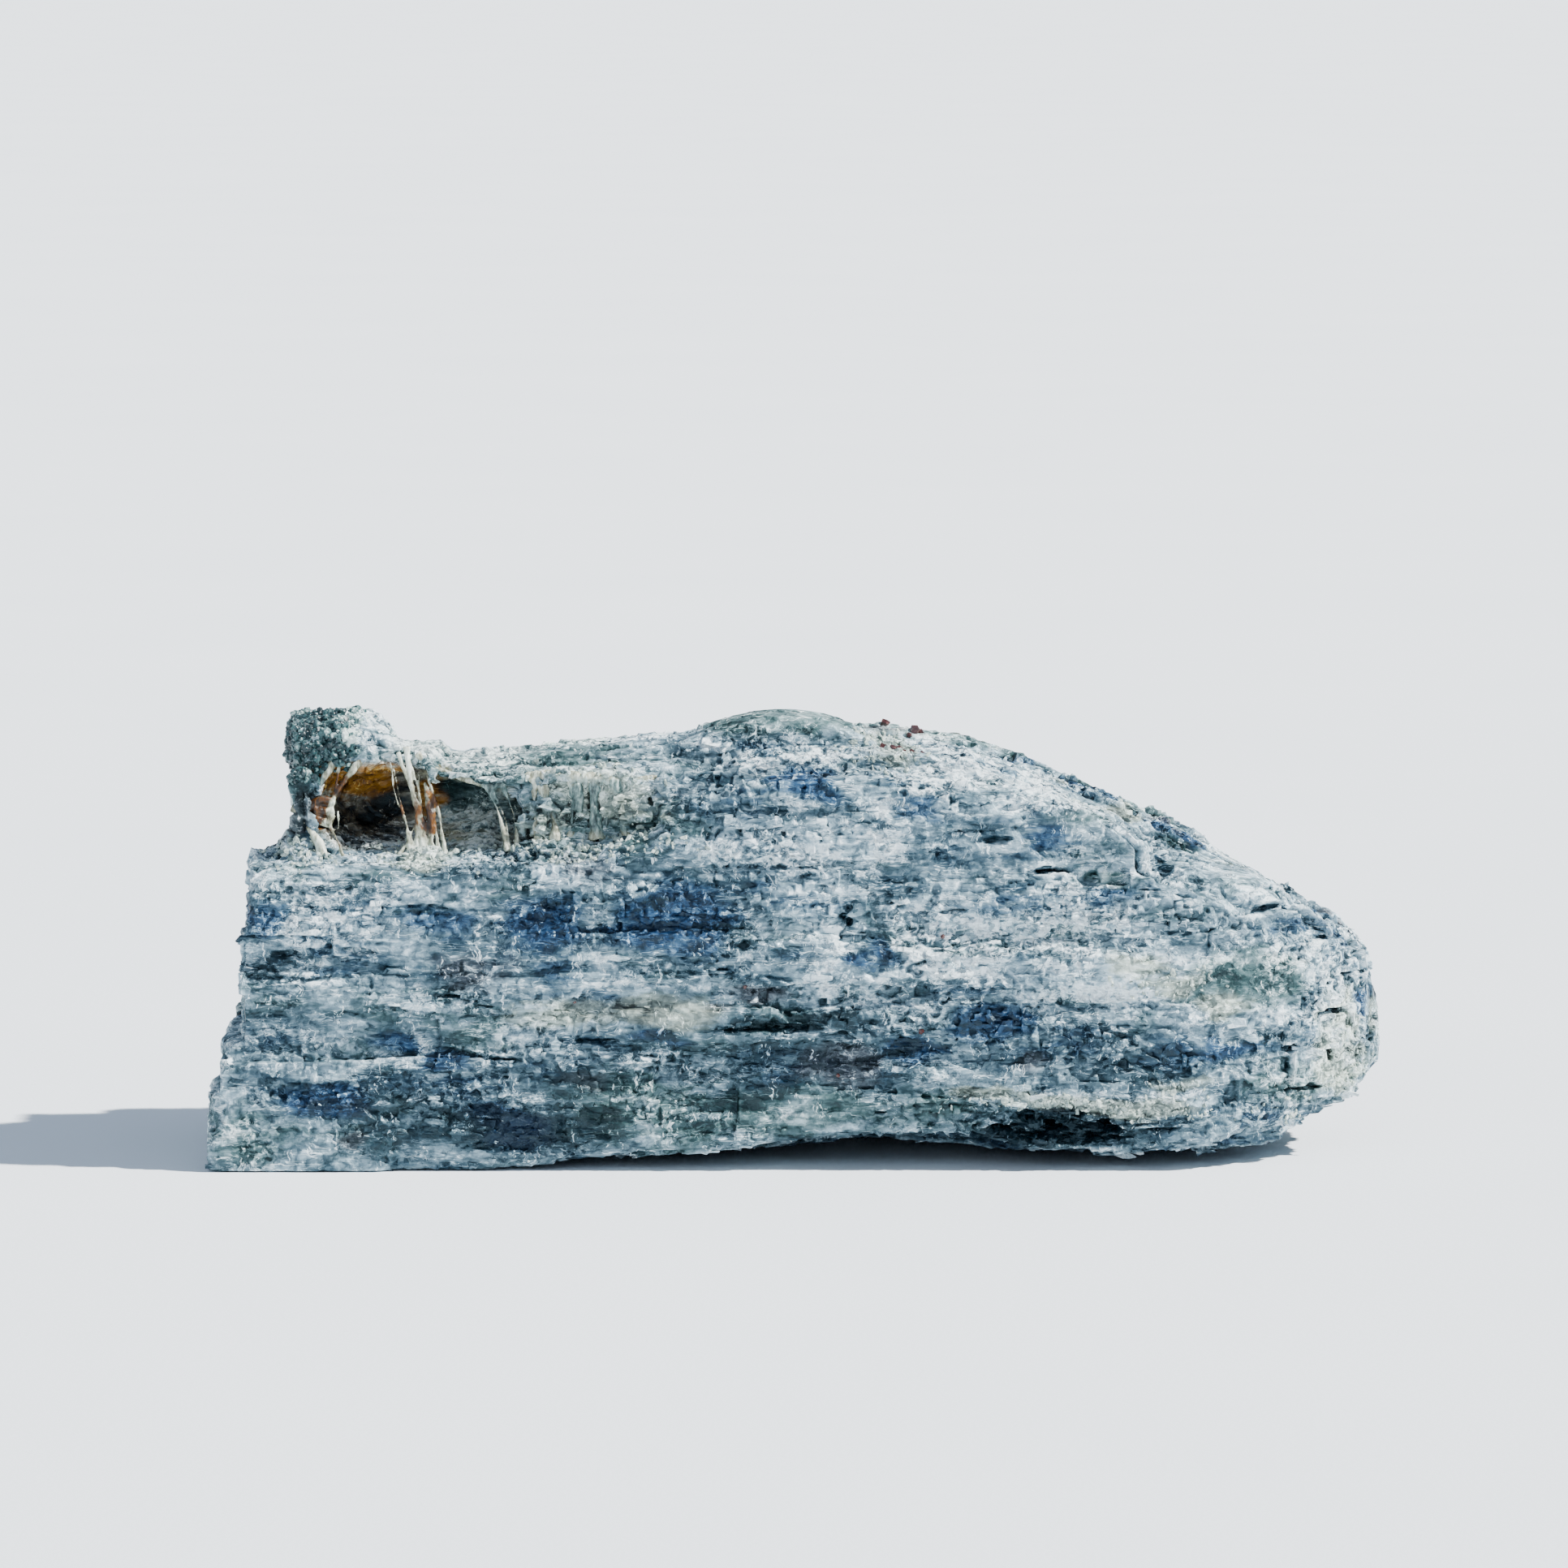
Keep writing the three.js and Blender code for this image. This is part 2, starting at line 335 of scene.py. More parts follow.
def roughen(points, normals):
    warp = np.stack([smoothNoise(points, breakage["bendSize"], seed) for seed in (21, 22, 23)], axis=1)
    bent = points + warp * breakage["bend"]
    rounded = ramp(points[:, 0], *stone["nose"])
    broadFace = normals[:, 1] ** 2  # 1 on the flat cleavage faces, 0 on the blades' edges and ends
    lively = 1 - insidePatches(points, calmPatches)
    waves = breakage["waves"]
    lift = waves["step"] * roughNoise(points, waves["size"], waves["seed"])
    kept = (1 - breakage["noseLoss"] * rounded) * (1 - breakage["faceLoss"] * broadFace)
    for blades in breakage["blades"]:
        step, lean = splitIntoBlocks(bent, blades["size"], blades["seed"])
        share = kept * atLeast(breakage["calmLeast"], lively)
        lift += (blades["step"] * step + blades["tilt"] * lean) * share
    ends = breakage["ends"]
    step, _ = splitIntoBlocks(bent, ends["size"], ends["seed"])
    endOn = ramp(np.abs(normals[:, 0]), 0.1, 0.6)
    lift += ends["step"] * step * endOn * atLeast(breakage["endsLeast"], lively)

    onFront = ramp(-normals[:, 1], 0.3, 0.7) * ramp(-points[:, 1], 4, 7)
    torn = np.stack([roughNoise(points, (1.5, 1, 0.8), seed, 2) for seed in (45, 46, 47)], axis=1)
    lift -= onFront * insidePatches(points + torn * (0.9, 0, 0.35), crevices, 0.5, 1.2)
    torn = np.abs(roughNoise(points, (2.4, 1.6, 1.0), 48, 4))
    lift -= breakage["tornDepth"] * onFront * insidePatches(points, [raggedBelly], 0.5, 1.2) * (torn - 0.1)

    onKnob = ramp(points[:, 0], -37, -39) * ramp(points[:, 2], 34.5, 36.5)
    lumps = breakage["lumps"]
    lift += lumps["step"] * onKnob * roughNoise(points, lumps["size"], lumps["seed"])
    chipped = ramp(roughNoise(points, (12, 5, 5), 41) + 0.25, -0.3, 0.7)
    chips = breakage["chips"]
    step, lean = splitIntoBlocks(bent, chips["size"], chips["seed"])
    share = atLeast(breakage["chipsLeast"], chipped)
    lift += (chips["step"] * step + chips["tilt"] * lean) * share * lively
    return points + normals * lift[:, None]


# The hollow reaches further left and deeper than the simple solid: middle (x, y, z) and half sizes.
carved = [
    (-41.3, -8.6, 33.2, 4.75, 7.6, 4.2), (-36.5, -7.6, 33.4, 6.0, 8.4, 4.4),
    (-44.6, -12, 33.0, 1.6, 5, 3.4),
]
# Rounded growths that flow into the stone round the hollow, in the same way.
growths = [
    (-40.0, -4.6, 40.0, 2.1, 3.0, 1.1), (-38.6, -5.4, 38.9, 1.6, 2.4, 0.9),
    (-35.3, -7.0, 37.9, 1.5, 1.7, 1.1), (-34.5, -8.4, 36.6, 1.05, 0.6, 1.5),
    (-36.8, -6.4, 37.7, 1.6, 1.4, 0.8), (-34.4, -9.6, 28.9, 2.2, 1.6, 1.2),
    (-37.6, -9.6, 28.6, 1.4, 1.2, 0.8), (-46.6, -9.4, 29.4, 1.1, 1.2, 0.9),
    (-45.4, -10.6, 28.9, 0.9, 0.9, 0.6), (-31.6, -8.6, 36.6, 1.8, 1.2, 0.6),
    (-29.0, -8.8, 35.9, 1.5, 1.2, 0.6), (-26.6, -8.8, 36.0, 1.4, 1.2, 0.6),
    (-46.5, -8.4, 34.0, 0.6, 1.4, 4.6),
]
columns = {"from": -25.6, "to": -11.0, "count": 8, "head": 36.2, "foot": 30.0, "radius": 0.95, "seed": 91}


def columnRows():  # short pillars under the lip, each a head, a shaft and a foot
    random = np.random.default_rng(columns["seed"])
    rows = []
    for share in (np.arange(columns["count"]) + 0.3 * random.random(columns["count"])) / columns["count"]:
        across = columns["from"] + (columns["to"] - columns["from"]) * share
        radius = columns["radius"] * (0.8 + 0.5 * random.random())
        front = -8.6 - 2.2 * share
        head = columns["head"] - 0.9 * random.random()
        neck = head - 1.6 - 1.8 * random.random()
        aside = across + 0.4 * random.random()
        foot = columns["foot"]
        rows += [
            (across, front, head, radius * 1.15, radius, radius),
            (across + 0.2, front, (head + neck) / 2, radius * 0.55, radius * 0.6, (head - neck) / 1.7),
            (aside, front - 0.3, neck, radius * 0.9, radius, radius * 0.8),
            (across + 0.3, front - 0.5, (neck + foot) / 2, radius * 0.7, radius * 0.7, 1.8),
            (across + 0.2, front - 1.0, foot - 0.3, radius * 1.3, radius * 1.2, radius * 0.7),
        ]
    return rows


def roundedMesh(rows):  # one mesh of stretched balls
    form = bmesh.new()
    for across, deep, height, *radii in rows:
        place = Matrix.LocRotScale((across, deep, height), None, radii)
        bmesh.ops.create_icosphere(form, subdivisions=3, radius=1, matrix=place)
    mesh = bpy.data.meshes.new("rounded")
    form.to_mesh(mesh)
    form.free()
    return mesh


def joinedStone():  # the CAD solid with the hollow cut deeper and the growths joined on
    mesh = bpy.data.meshes.new("stone")
    form = bmesh.new()
    form.from_mesh(bpy.data.objects["kyanite_cluster"].data)
    bmesh.ops.scale(form, vec=(1 / mm,) * 3, verts=form.verts)
    bmesh.ops.remove_doubles(form, verts=form.verts, dist=0.001)
    form.to_mesh(mesh)
    form.free()
    piece = objectFrom(mesh, "kyanite_blades")
    cutter = objectFrom(roundedMesh(carved), "cutter")
    addModifier(piece, "BOOLEAN", operation="DIFFERENCE", object=cutter, use_self=True)
    applied(piece)
    bpy.data.objects.remove(cutter)
    joined = bmesh.new()
    joined.from_mesh(piece.data)
    joined.from_mesh(roundedMesh(growths + columnRows()))
    joined.to_mesh(piece.data)
    joined.free()
    addModifier(piece, "REMESH", mode="VOXEL", voxel_size=stone["coarseVoxel"])
    return applied(piece)


def settled(points, edges):  # the big forms: rounded nose, crest, stepped end, raised belly, sloping knob
    brokenEnd = ramp(points[:, 0], *(leftEnd + away for away in stone["brokenEnd"]))[:, None]
    crisp = averaged(points, edges, stone["endRounds"])
    softer = averaged(points, edges, stone["bodyRounds"]) * (1 - brokenEnd) + crisp * brokenEnd
    softest = averaged(points, edges, stone["noseRounds"])
    towardsNose = ramp(points[:, 0], *stone["nose"])[:, None]
    formed = softer * (1 - towardsNose) + softest * towardsNose
    formed[:, 0] += (noseTip - formed[:, 0].max()) * ramp(formed[:, 0], 0, noseTip)

    onCrest = ramp(formed[:, 2], *stone["crestHeight"]) * ramp(-formed[:, 0], *stone["crestAcross"])
    formed[:, 0] += stone["crestShift"] * onCrest
    formed[:, 2] -= stone["crestDrop"] * onCrest * ramp(formed[:, 2], *stone["crestDropHeight"])

    for height, plane in stone["endSteps"]:
        along = formed[:, 2] + stone["endWander"] * smoothNoise(formed, stone["endWanderSize"], 27)
        level = ramp(along, height - stone["endEdge"], height + stone["endEdge"])
        formed[:, 0] = np.maximum(formed[:, 0], plane * level + leftEnd * (1 - level))

    lifted = stone["bellyLift"] * ramp(formed[:, 0], *stone["bellyStart"])
    formed[:, 2] = np.maximum(formed[:, 2], lifted - stone["bellyRise"] * (formed[:, 1] - frontFace))

    slope = stone["capTop"] - stone["capFall"] * ramp(formed[:, 0], *stone["capAcross"])
    slope -= stone["capBack"] * np.maximum(formed[:, 1] - stone["capBackFrom"], 0)
    over = np.maximum(formed[:, 2] - slope, 0) * ramp(-formed[:, 0], *stone["capEnd"])
    formed[:, 2] -= stone["capPress"] * over
    return formed


def shapeStone():
    piece = joinedStone()
    print("stone: hollow cut and growths joined")
    movePoints(piece.data, settled(pointsOf(piece.data), edgesOf(piece.data)))
    addModifier(piece, "REMESH", mode="VOXEL", voxel_size=stone["fineVoxel"])
    applied(piece)
    print("stone: fine mesh", len(piece.data.vertices), "points")
    edges = edgesOf(piece.data)
    points = averaged(pointsOf(piece.data), edges, stone["fineRounds"])
    movePoints(piece.data, points)
    outward = averaged(normalsOf(piece.data), edges, stone["outwardRounds"])
    outward /= np.linalg.norm(outward, axis=1, keepdims=True)
    broken = roughen(points, outward)
    broken[:, 2] = np.maximum(broken[:, 2], floorLevel)
    movePoints(piece.data, broken)
    around = averaged(broken, edges, stone["reliefRounds"])
    store(piece.data, "relief", ((broken - around) * outward).sum(axis=1))
    addModifier(piece, "DECIMATE", ratio=stone["triangles"] / (2 * len(piece.data.polygons)))
    applied(piece)
    piece.data.calc_loop_triangles()
    print("stone: thinned to", len(piece.data.loop_triangles), "triangles")
    return piece


# Where each tone of the stone lies on its front face; the dark and shade lists also hold painted shade.
# Every patch is its middle (x, z), its half width and half height, and its strength.
patches = {
    "navy": [
        (1, 36, 3.2, 1.6, 1), (-11, 23.6, 5.4, 3.6, 1), (-23, 23.4, 4, 2.6, 0.8),
        (-33, 23.6, 3, 1.6, 0.6), (-42.6, 6.8, 3.4, 1.9, 1), (-37.4, 12, 1.6, 1.3, 1),
        (-33, 10.4, 2.6, 1.2, 0.6), (-26.4, 4.2, 4.2, 2.2, 1), (-48.6, 23.2, 2.6, 1.8, 0.8),
        (11.6, 11.4, 3.2, 1.2, 0.9), (18, 13.8, 4, 1.6, 0.7), (8.4, 20.4, 1.8, 1.3, 1),
        (41, 11.3, 4, 0.7, 0.7), (29, 26, 2.4, 1.1, 0.5), (11.4, 33.8, 2.4, 1.2, 0.6),
        (53.4, 14.6, 1.4, 1.9, 0.9), (24, 31, 3.6, 1, 0.6), (-13.6, 12.8, 2.2, 0.7, 0.8),
        (-2, 7.6, 3, 1, 0.5), (34.5, 11, 4, 1.8, 0.5),
    ],
    # dark stone; the patches along the foot and under the belly are painted shadow, and those over the
    # crevices are painted shade in the cracks
    "dark": [
        (0.5, 14.0, 6.4, 0.9, 1.4), (-25.4, 3.6, 3, 1.6, 0.8), (-18, 4.4, 3.4, 1.9, 0.7),
        (8.6, 20.3, 1.1, 0.9, 0.9), (24, 3.8, 8, 1.5, 2.0), (-38, 3.4, 4.5, 1.4, 0.5),
        (-29, 3.6, 4, 1.5, 0.8), (-46.8, 20.1, 1.8, 0.8, 0.8), (4.8, 23.4, 0.5, 2.2, 0.9),
        (-9.5, 21.2, 2, 1, 0.6), (-31.6, 16.4, 1.4, 0.4, 1), (50.4, 6.6, 1.6, 0.6, 0.7),
        (-7.6, 35.8, 1.6, 0.5, 0.7), (18, 31.2, 1.4, 0.7, 0.7), (35.8, 26.2, 1, 0.6, 0.7),
        (-8, 13.6, 1.4, 0.8, 0.8), (-46, 34.6, 1.2, 1.8, 1.2),
    ],
    "green": [
        (-52, 3, 3, 3.6, 0.4), (-16, 6, 9, 3.4, 0.8), (0, 5.6, 9, 2.4, 0.8), (12, 5.4, 5, 2, 0.8),
        (41, 17.6, 6, 2.8, 1.4), (28, 27.4, 3, 0.7, 0.9), (46, 8, 6, 2.4, 0.6), (-29, 12.6, 4, 1.4, 0.5),
        (-1.6, 41, 10, 1.6, 1), (-28, 37.6, 14, 2.6, 1), (27, 33, 3.4, 1.2, 0.6),
        (-44.5, 39.6, 4.4, 3.6, 1), (-46.6, 33, 1.4, 5, 1), (-20, 33, 9, 3.4, 0.8),
    ],
    "brown": [
        (-3, 17, 3, 0.9, 0.9), (4.4, 9.9, 3.4, 2.1, 1), (22.4, 10.2, 2, 0.8, 0.8),
        (-41.2, 2.8, 1.3, 0.8, 1), (-46, 32.4, 1.2, 2.4, 1.6), (-30, 19, 4, 2, 0.7),
        (-19, 28, 3.6, 1.5, 0.6), (-7, 15.4, 1.4, 0.5, 0.8), (-20, 8.4, 2.6, 1, 0.5),
    ],
    "cream": [
        (-21.6, 14.8, 5, 1.5, 0.9), (-11.6, 15.2, 5, 1.4, 1), (31.6, 19.4, 2.4, 1.4, 0.9),
        (35.4, 17.6, 2.2, 1.1, 1), (39.8, 15.4, 2.6, 0.9, 1), (36.2, 8.2, 2.6, 0.6, 0.9),
        (33, 6, 3, 1.2, 1), (28, 6.4, 8, 0.8, 1.2), (51, 12, 2, 4, 0.7), (50.6, 8.6, 2.4, 3, 0.8),
        (-17.6, 34.6, 5, 2.2, 1), (-24, 31.6, 3, 1.6, 0.6), (-34.4, 29.2, 3, 0.8, 0.8),
        (27, 35, 3, 1, 0.5), (9, 38.6, 2, 1.2, 0.6), (20, 7.2, 4, 0.6, 0.9),
    ],
    "shade": [  # broad darker and paler parts of the front face; the darker ones along the foot and under the belly are painted shadow
        (-27, 4.2, 16, 2.2, 3), (-8, 6, 6, 3, 2.4), (-6, 12, 12, 3, 0.9), (28, 4.6, 6, 2, 1.4),
        (44, 14, 10, 12, -1), (14, 32, 20, 6, -1.5), (-26, 37.6, 12, 1.4, -1), (24, 20, 14, 5, -1.4),
        (33, 18, 5, 4, -2.6), (-48.5, 17, 4, 3, 2.4), (41, 17.6, 5, 2.2, 1.6), (-41, 20, 7, 4, -0.8),
        (2.5, 24, 5, 3, -3.4), (22, 24.6, 9, 3, -2.6), (-38, 24.4, 5, 2.2, -3), (-28, 29, 5, 1.4, 2.6),
        (32, 27, 5, 3, -1.5), (32, 9.4, 5, 2, 2.8), (-18, 17.4, 5, 2, -2.2), (43, 25, 4, 2.4, -2),
        (-20, 5, 6, 1.4, 1),
    ],
    "white": [
        (-43, 23.4, 5, 4.4, 0.9), (-49, 26, 1.4, 2.6, 0.6), (4, 18.8, 3, 2.6, 0.9), (15, 21, 5, 4, 0.9),
        (7.2, 30.8, 1.2, 3.6, 1), (-2, 38.6, 8, 1, 1), (-24, 38.6, 12, 0.4, 0.6), (50.6, 14, 3, 7, 1),
        (24, 22, 6, 4, 0.6), (-4, 29.6, 6, 2.6, 0.6), (14, 36.6, 5, 2, 0.8), (23, 34.6, 4, 1.4, 0.8),
        (28, 29.5, 3.4, 0.7, 1), (46, 20.4, 4, 2, 0.8), (26, 16.6, 5, 1.2, 0.6),
        (-22, 17.4, 6, 0.8, 0.5), (-33, 29.2, 14, 0.7, 0.8), (-53.6, 6, 0.8, 9, 0.6),
        (45, 4.6, 5, 1.4, 0.7), (22, 7.2, 6, 0.7, 0.8), (-54, 14, 1.8, 14, 1), (-52, 3, 3, 3, 0.4),
        (27, 6.8, 8, 0.7, 1), (-35.6, 14, 0.5, 4.4, 0.9), (-40.3, 40.2, 2, 1.6, 1.6),
        (-35, 38.6, 3.6, 1.6, 1.2), (-29, 37, 5, 0.8, 0.9), (-35.6, 38.2, 1.8, 1, 0.8),
        (-30, 36.6, 4, 0.6, 0.8), (-20, 35.6, 8, 1.6, 0.6), (-46.4, 29.4, 1.4, 1, 1),
    ],
}
hollowPatches = {
    "dark": [(-39.6, 31.2, 3.0, 2.0, 0.9), (-30, 34, 3.4, 1.8, 0.7), (-43.6, 31, 1.6, 2, 0.7)],
    "brown": [(-40, 32.6, 6, 5, 1.3), (-45, 32, 1.6, 4, 0.8)],
    "green": [(-29, 32, 5, 4, 1), (-38, 29.6, 5, 0.8, 0.8), (-40.5, 37.4, 4, 1.2, 1)],
    "rust": [(-43.6, 35.4, 1.6, 2.2, 0.9), (-40.0, 35.0, 2.6, 2.2, 1.2), (-33.6, 33, 1.0, 2.4, 0.9),
             (-45.4, 31, 1.2, 1.4, 0.8)],
    # the two lowest white patches are painted light on the hollow's floor
    "white": [(-38, 29.8, 5, 1.1, 2.2), (-29.6, 30.4, 4, 1.4, 1.8), (-39.6, 37.4, 3, 0.8, 1.2)],
}
crustPatches = [  # pale crust: the ledge's rim, the nose and the lower edge of the belly
    (-46, 29.2, 4, 0.9, 0.8), (-34.5, 29.2, 4, 0.8, 0.8), (-22, 29.6, 7, 0.9, 0.9),
    (-14, 31, 4, 1.0, 0.7), (-17.6, 36.0, 6, 0.9, 0.6), (52, 7.6, 2, 2.4, 0.45), (26, 6.4, 9, 0.7, 1.4),
    (35, 5.8, 3, 1.2, 1), (36.2, 8.2, 2.6, 0.7, 0.8), (35, 17.8, 5, 1.0, 0.8), (8, 38.6, 3, 1.4, 0.6),
    (45, 5, 4, 1.2, 0.5),
]
# Away from the front face the same tones follow broad noise: how common each is, and its patches' size.
elsewhere = {
    "navy": {"share": 0.16, "size": (9, 4, 3.2), "seed": 51},
    "dark": {"share": 0.05, "size": (7, 3, 2), "seed": 52},
    "green": {"share": 0.30, "size": (14, 5, 4), "seed": 53},
    "brown": {"share": 0.08, "size": (8, 4, 2.4), "seed": 54},
    "cream": {"share": 0.14, "size": (9, 4, 2), "seed": 55},
    "white": {"share": 0.24, "size": (8, 5, 4), "seed": 56},
    "shade": {"share": 0.20, "size": (24, 12, 9), "seed": 57},
}


def markTones(piece):
    points = pointsOf(piece.data)
    across, deep, height = points.T
    bent = points.copy()
    bent[:, 0] += 1.6 * roughNoise(points, (5, 4, 2), 61)
    bent[:, 2] += 0.6 * roughNoise(points, (3.5, 4, 2), 65)
    onFront = np.maximum(ramp(-deep, 1, 6), ramp(-deep, -5, -1) * ramp(height, 33.5, 35))
    inHollow = (
        ramp(deep, -9.2, -7.4) * ramp(height, 28.6, 30.0) * (1 - ramp(height, 37, 38))
        * (1 - ramp(across, -28, -23)) * (1 - ramp(deep, 2, 3)) * ramp(across, -46.6, -45.9)
    )
    facing = averaged(normalsOf(piece.data), edgesOf(piece.data), 4)
    inHollow *= 1 - ramp(facing[:, 2], 0.0, 0.4) * ramp(height, 34, 35)  # not the top of the lip
    onKnob = ramp(across, -40.4, -41.8) * ramp(height, 35.2, 36.4) * (1 - inHollow)
    nearKnob = ramp(across, -37, -39) * ramp(height, 34, 35)
    for name, habit in elsewhere.items():
        noise = 0.5 + 0.5 * roughNoise(points, habit["size"], habit["seed"])
        spread = ramp(noise, 0.78 - habit["share"], 1.08 - habit["share"])
        tone = onFront * insidePatches(bent, patches[name]) + (1 - onFront) * spread
        inside = insidePatches(bent, hollowPatches.get(name, []))
        store(piece.data, name, tone * (1 - inHollow) + inHollow * inside)
    store(piece.data, "hollow", inHollow)
    store(piece.data, "rust", inHollow * insidePatches(bent, hollowPatches["rust"]))
    store(piece.data, "druse", onKnob)

    # how far the surface faces up, less where it faces down: the finish paints light on the one and shade
    # on the other, and fewer splinters grow on faces turned up
    upward = ramp(facing[:, 2], 0.25, 0.75) * (1 - inHollow)
    store(piece.data, "upward", upward - 0.7 * ramp(-facing[:, 2], 0.3, 0.8))
    sideways = ramp(np.abs(facing[:, 0]), 0.45, 0.8)
    paler = 0.25 * insidePatches(bent, patches["white"])
    chipped = ramp(roughNoise(points, (8, 5, 4), 67, 4) + paler, -0.2, 0.7)
    chipped = atLeast(0.15, chipped) * (1 - inHollow) * (1 - sideways) * (1 - nearKnob)
    store(piece.data, "chipped", chipped)
    rim = insidePatches(bent, crustPatches) * ramp(facing[:, 2] - facing[:, 1], 0.1, 0.6)
    store(piece.data, "crust", rim * onFront * (1 - inHollow))
    print("stone: tones marked")


class Wire:  # a socket that adds, multiplies and compares like a number
    def __init__(self, finish, socket):
        self.finish = finish
        self.socket = socket

    def maths(self, operation, *others, clamp=False):
        settings = {"operation": operation, "use_clamp": clamp}
        return self.finish.add("ShaderNodeMath", settings, dict(enumerate((self, *others))))

    def __add__(self, other):
        return self.maths("ADD", other)

    def __sub__(self, other):
        return self.maths("SUBTRACT", other)

    def __mul__(self, other):
        return self.maths("MULTIPLY", other)

    def __rsub__(self, other):
        return self.maths("MULTIPLY_ADD", -1.0, other)

    __radd__ = __add__
    __rmul__ = __mul__

    def step(self, low, high):  # 0 below low, 1 above high, smooth between
        sockets = {"Value": self, "From Min": low, "From Max": high}
        return self.finish.add("ShaderNodeMapRange", {"interpolation_type": "SMOOTHSTEP"}, sockets)

    def held(self):  # kept between 0 and 1
        return self.maths("ADD", 0.0, clamp=True)

    def most(self, other):
        return self.maths("MAXIMUM", other)

    def least(self, other):
        return self.maths("MINIMUM", other)


class Finish:  # one material and the few calls that build its nodes
    def __init__(self, name):
        self.material = bpy.data.materials.new(name)
        self.material.use_nodes = True
        self.tree = self.material.node_tree
        self.surface = self.tree.nodes["Principled BSDF"]
        self.place = self.add("ShaderNodeTexCoord", out="Object")

    def connect(self, socket, value):
        if isinstance(value, Wire):
            self.tree.links.new(value.socket, socket)
        elif isinstance(value, (tuple, list)) and len(socket.default_value) == 4:
            socket.default_value = (*value, 1)[:4]
        else:
            socket.default_value = value

    def add(self, kind, settings=None, sockets=None, out=0):
        node = self.tree.nodes.new(kind)
        for name, value in (settings or {}).items():
            if name == "stops":
                fillRamp(node.color_ramp, value)
            else:
                setattr(node, name, value)
        for name, value in (sockets or {}).items():
            self.connect(node.inputs[name], value)
        return Wire(self, node.outputs[out])

    def scaled(self, size, start=None):  # the place on the stone, in steps of this many millimetres
        scale = [1 / (mm * length) for length in size]
        return self.add("ShaderNodeMapping", None, {"Vector": start or self.place, "Scale": scale})

    def bent(self, size, amount, start=None):  # the place pushed about by noise
        start = start or self.place
        sockets = {"Vector": self.scaled(size, start), "Scale": 1.0, "Detail": 1.0}
        push = self.add("ShaderNodeTexNoise", None, sockets, out="Color")
        centred = self.add("ShaderNodeVectorMath", {"operation": "SUBTRACT"}, {0: push, 1: (0.5, 0.5, 0.5)})
        reach = [2 * mm * length for length in amount]
        sockets = {0: centred, 1: reach, 2: start}
        return self.add("ShaderNodeVectorMath", {"operation": "MULTIPLY_ADD"}, sockets)

    def noise(self, size, detail=3.0, roughness=0.5, start=None):
        return self.add("ShaderNodeTexNoise", None, {
            "Vector": self.scaled(size, start),
            "Scale": 1.0,
            "Detail": detail,
            "Roughness": roughness,
        })

    def facets(self, size, start=None):  # for each small block a random number, and the slope of its face
        place = self.scaled(size, start)
        cells = self.add("ShaderNodeTexVoronoi", {"feature": "F1", "distance": "CHEBYCHEV"},
                         {"Vector": place, "Scale": 1.0}, out="Color")
        node = cells.socket.node
        middle = Wire(self, node.outputs["Position"])
        away = self.add("ShaderNodeVectorMath", {"operation": "SUBTRACT"}, {0: place, 1: middle})
        lean = self.add("ShaderNodeVectorMath", {"operation": "SUBTRACT"}, {0: cells, 1: (0.5, 0.5, 0.5)})
        sockets = {0: away, 1: lean}
        slope = self.add("ShaderNodeVectorMath", {"operation": "DOT_PRODUCT"}, sockets, out="Value")
        return self.add("ShaderNodeSeparateColor", None, {0: cells}), slope

    def ramp(self, value, stops):
        return self.add("ShaderNodeValToRGB", {"stops": stops}, {0: value})

    def rims(self, size, width, start=None):  # thin lines round blocks like those the stone cleaves into
        place = self.scaled(size, start)
        sockets = {"Vector": place, "Scale": 1.0}
        first = self.add("ShaderNodeTexVoronoi", {"feature": "F1", "distance": "CHEBYCHEV"}, sockets)
        second = self.add("ShaderNodeTexVoronoi", {"feature": "F2", "distance": "CHEBYCHEV"}, sockets)
        return 1 - (second - first).step(0.0, width)

    def veins(self, size, width, start=None):  # thin wandering lines, about this far apart
        level = self.noise(size, 2, 0.5, start) - 0.5
        return 1 - level.maths("ABSOLUTE").step(0.0, width)

    def stored(self, name):
        return self.add("ShaderNodeAttribute", {"attribute_name": name}, out="Fac")

    def mix(self, factor, first, second):
        settings = {"data_type": "RGBA", "blend_type": "MIX"}
        return self.add("ShaderNodeMix", settings, {0: factor, 6: first, 7: second}, out=2)

    def bump(self, height):  # height in millimetres
        return self.add("ShaderNodeBump", None, {"Height": height, "Distance": mm, "Strength": 1.0})

    def done(self, **sockets):
        for name, value in sockets.items():
            self.connect(self.surface.inputs[name.replace("_", " ")], value)
        return self.material


def fillRamp(colourRamp, stops):  # a new ramp has two stops already, one at each end
    for place, colour in stops[1:-1]:
        colourRamp.elements.new(place).color = (*colour, 1)
    for index, (place, colour) in ((0, stops[0]), (-1, stops[-1])):
        colourRamp.elements[index].position = place
        colourRamp.elements[index].color = (*colour, 1)


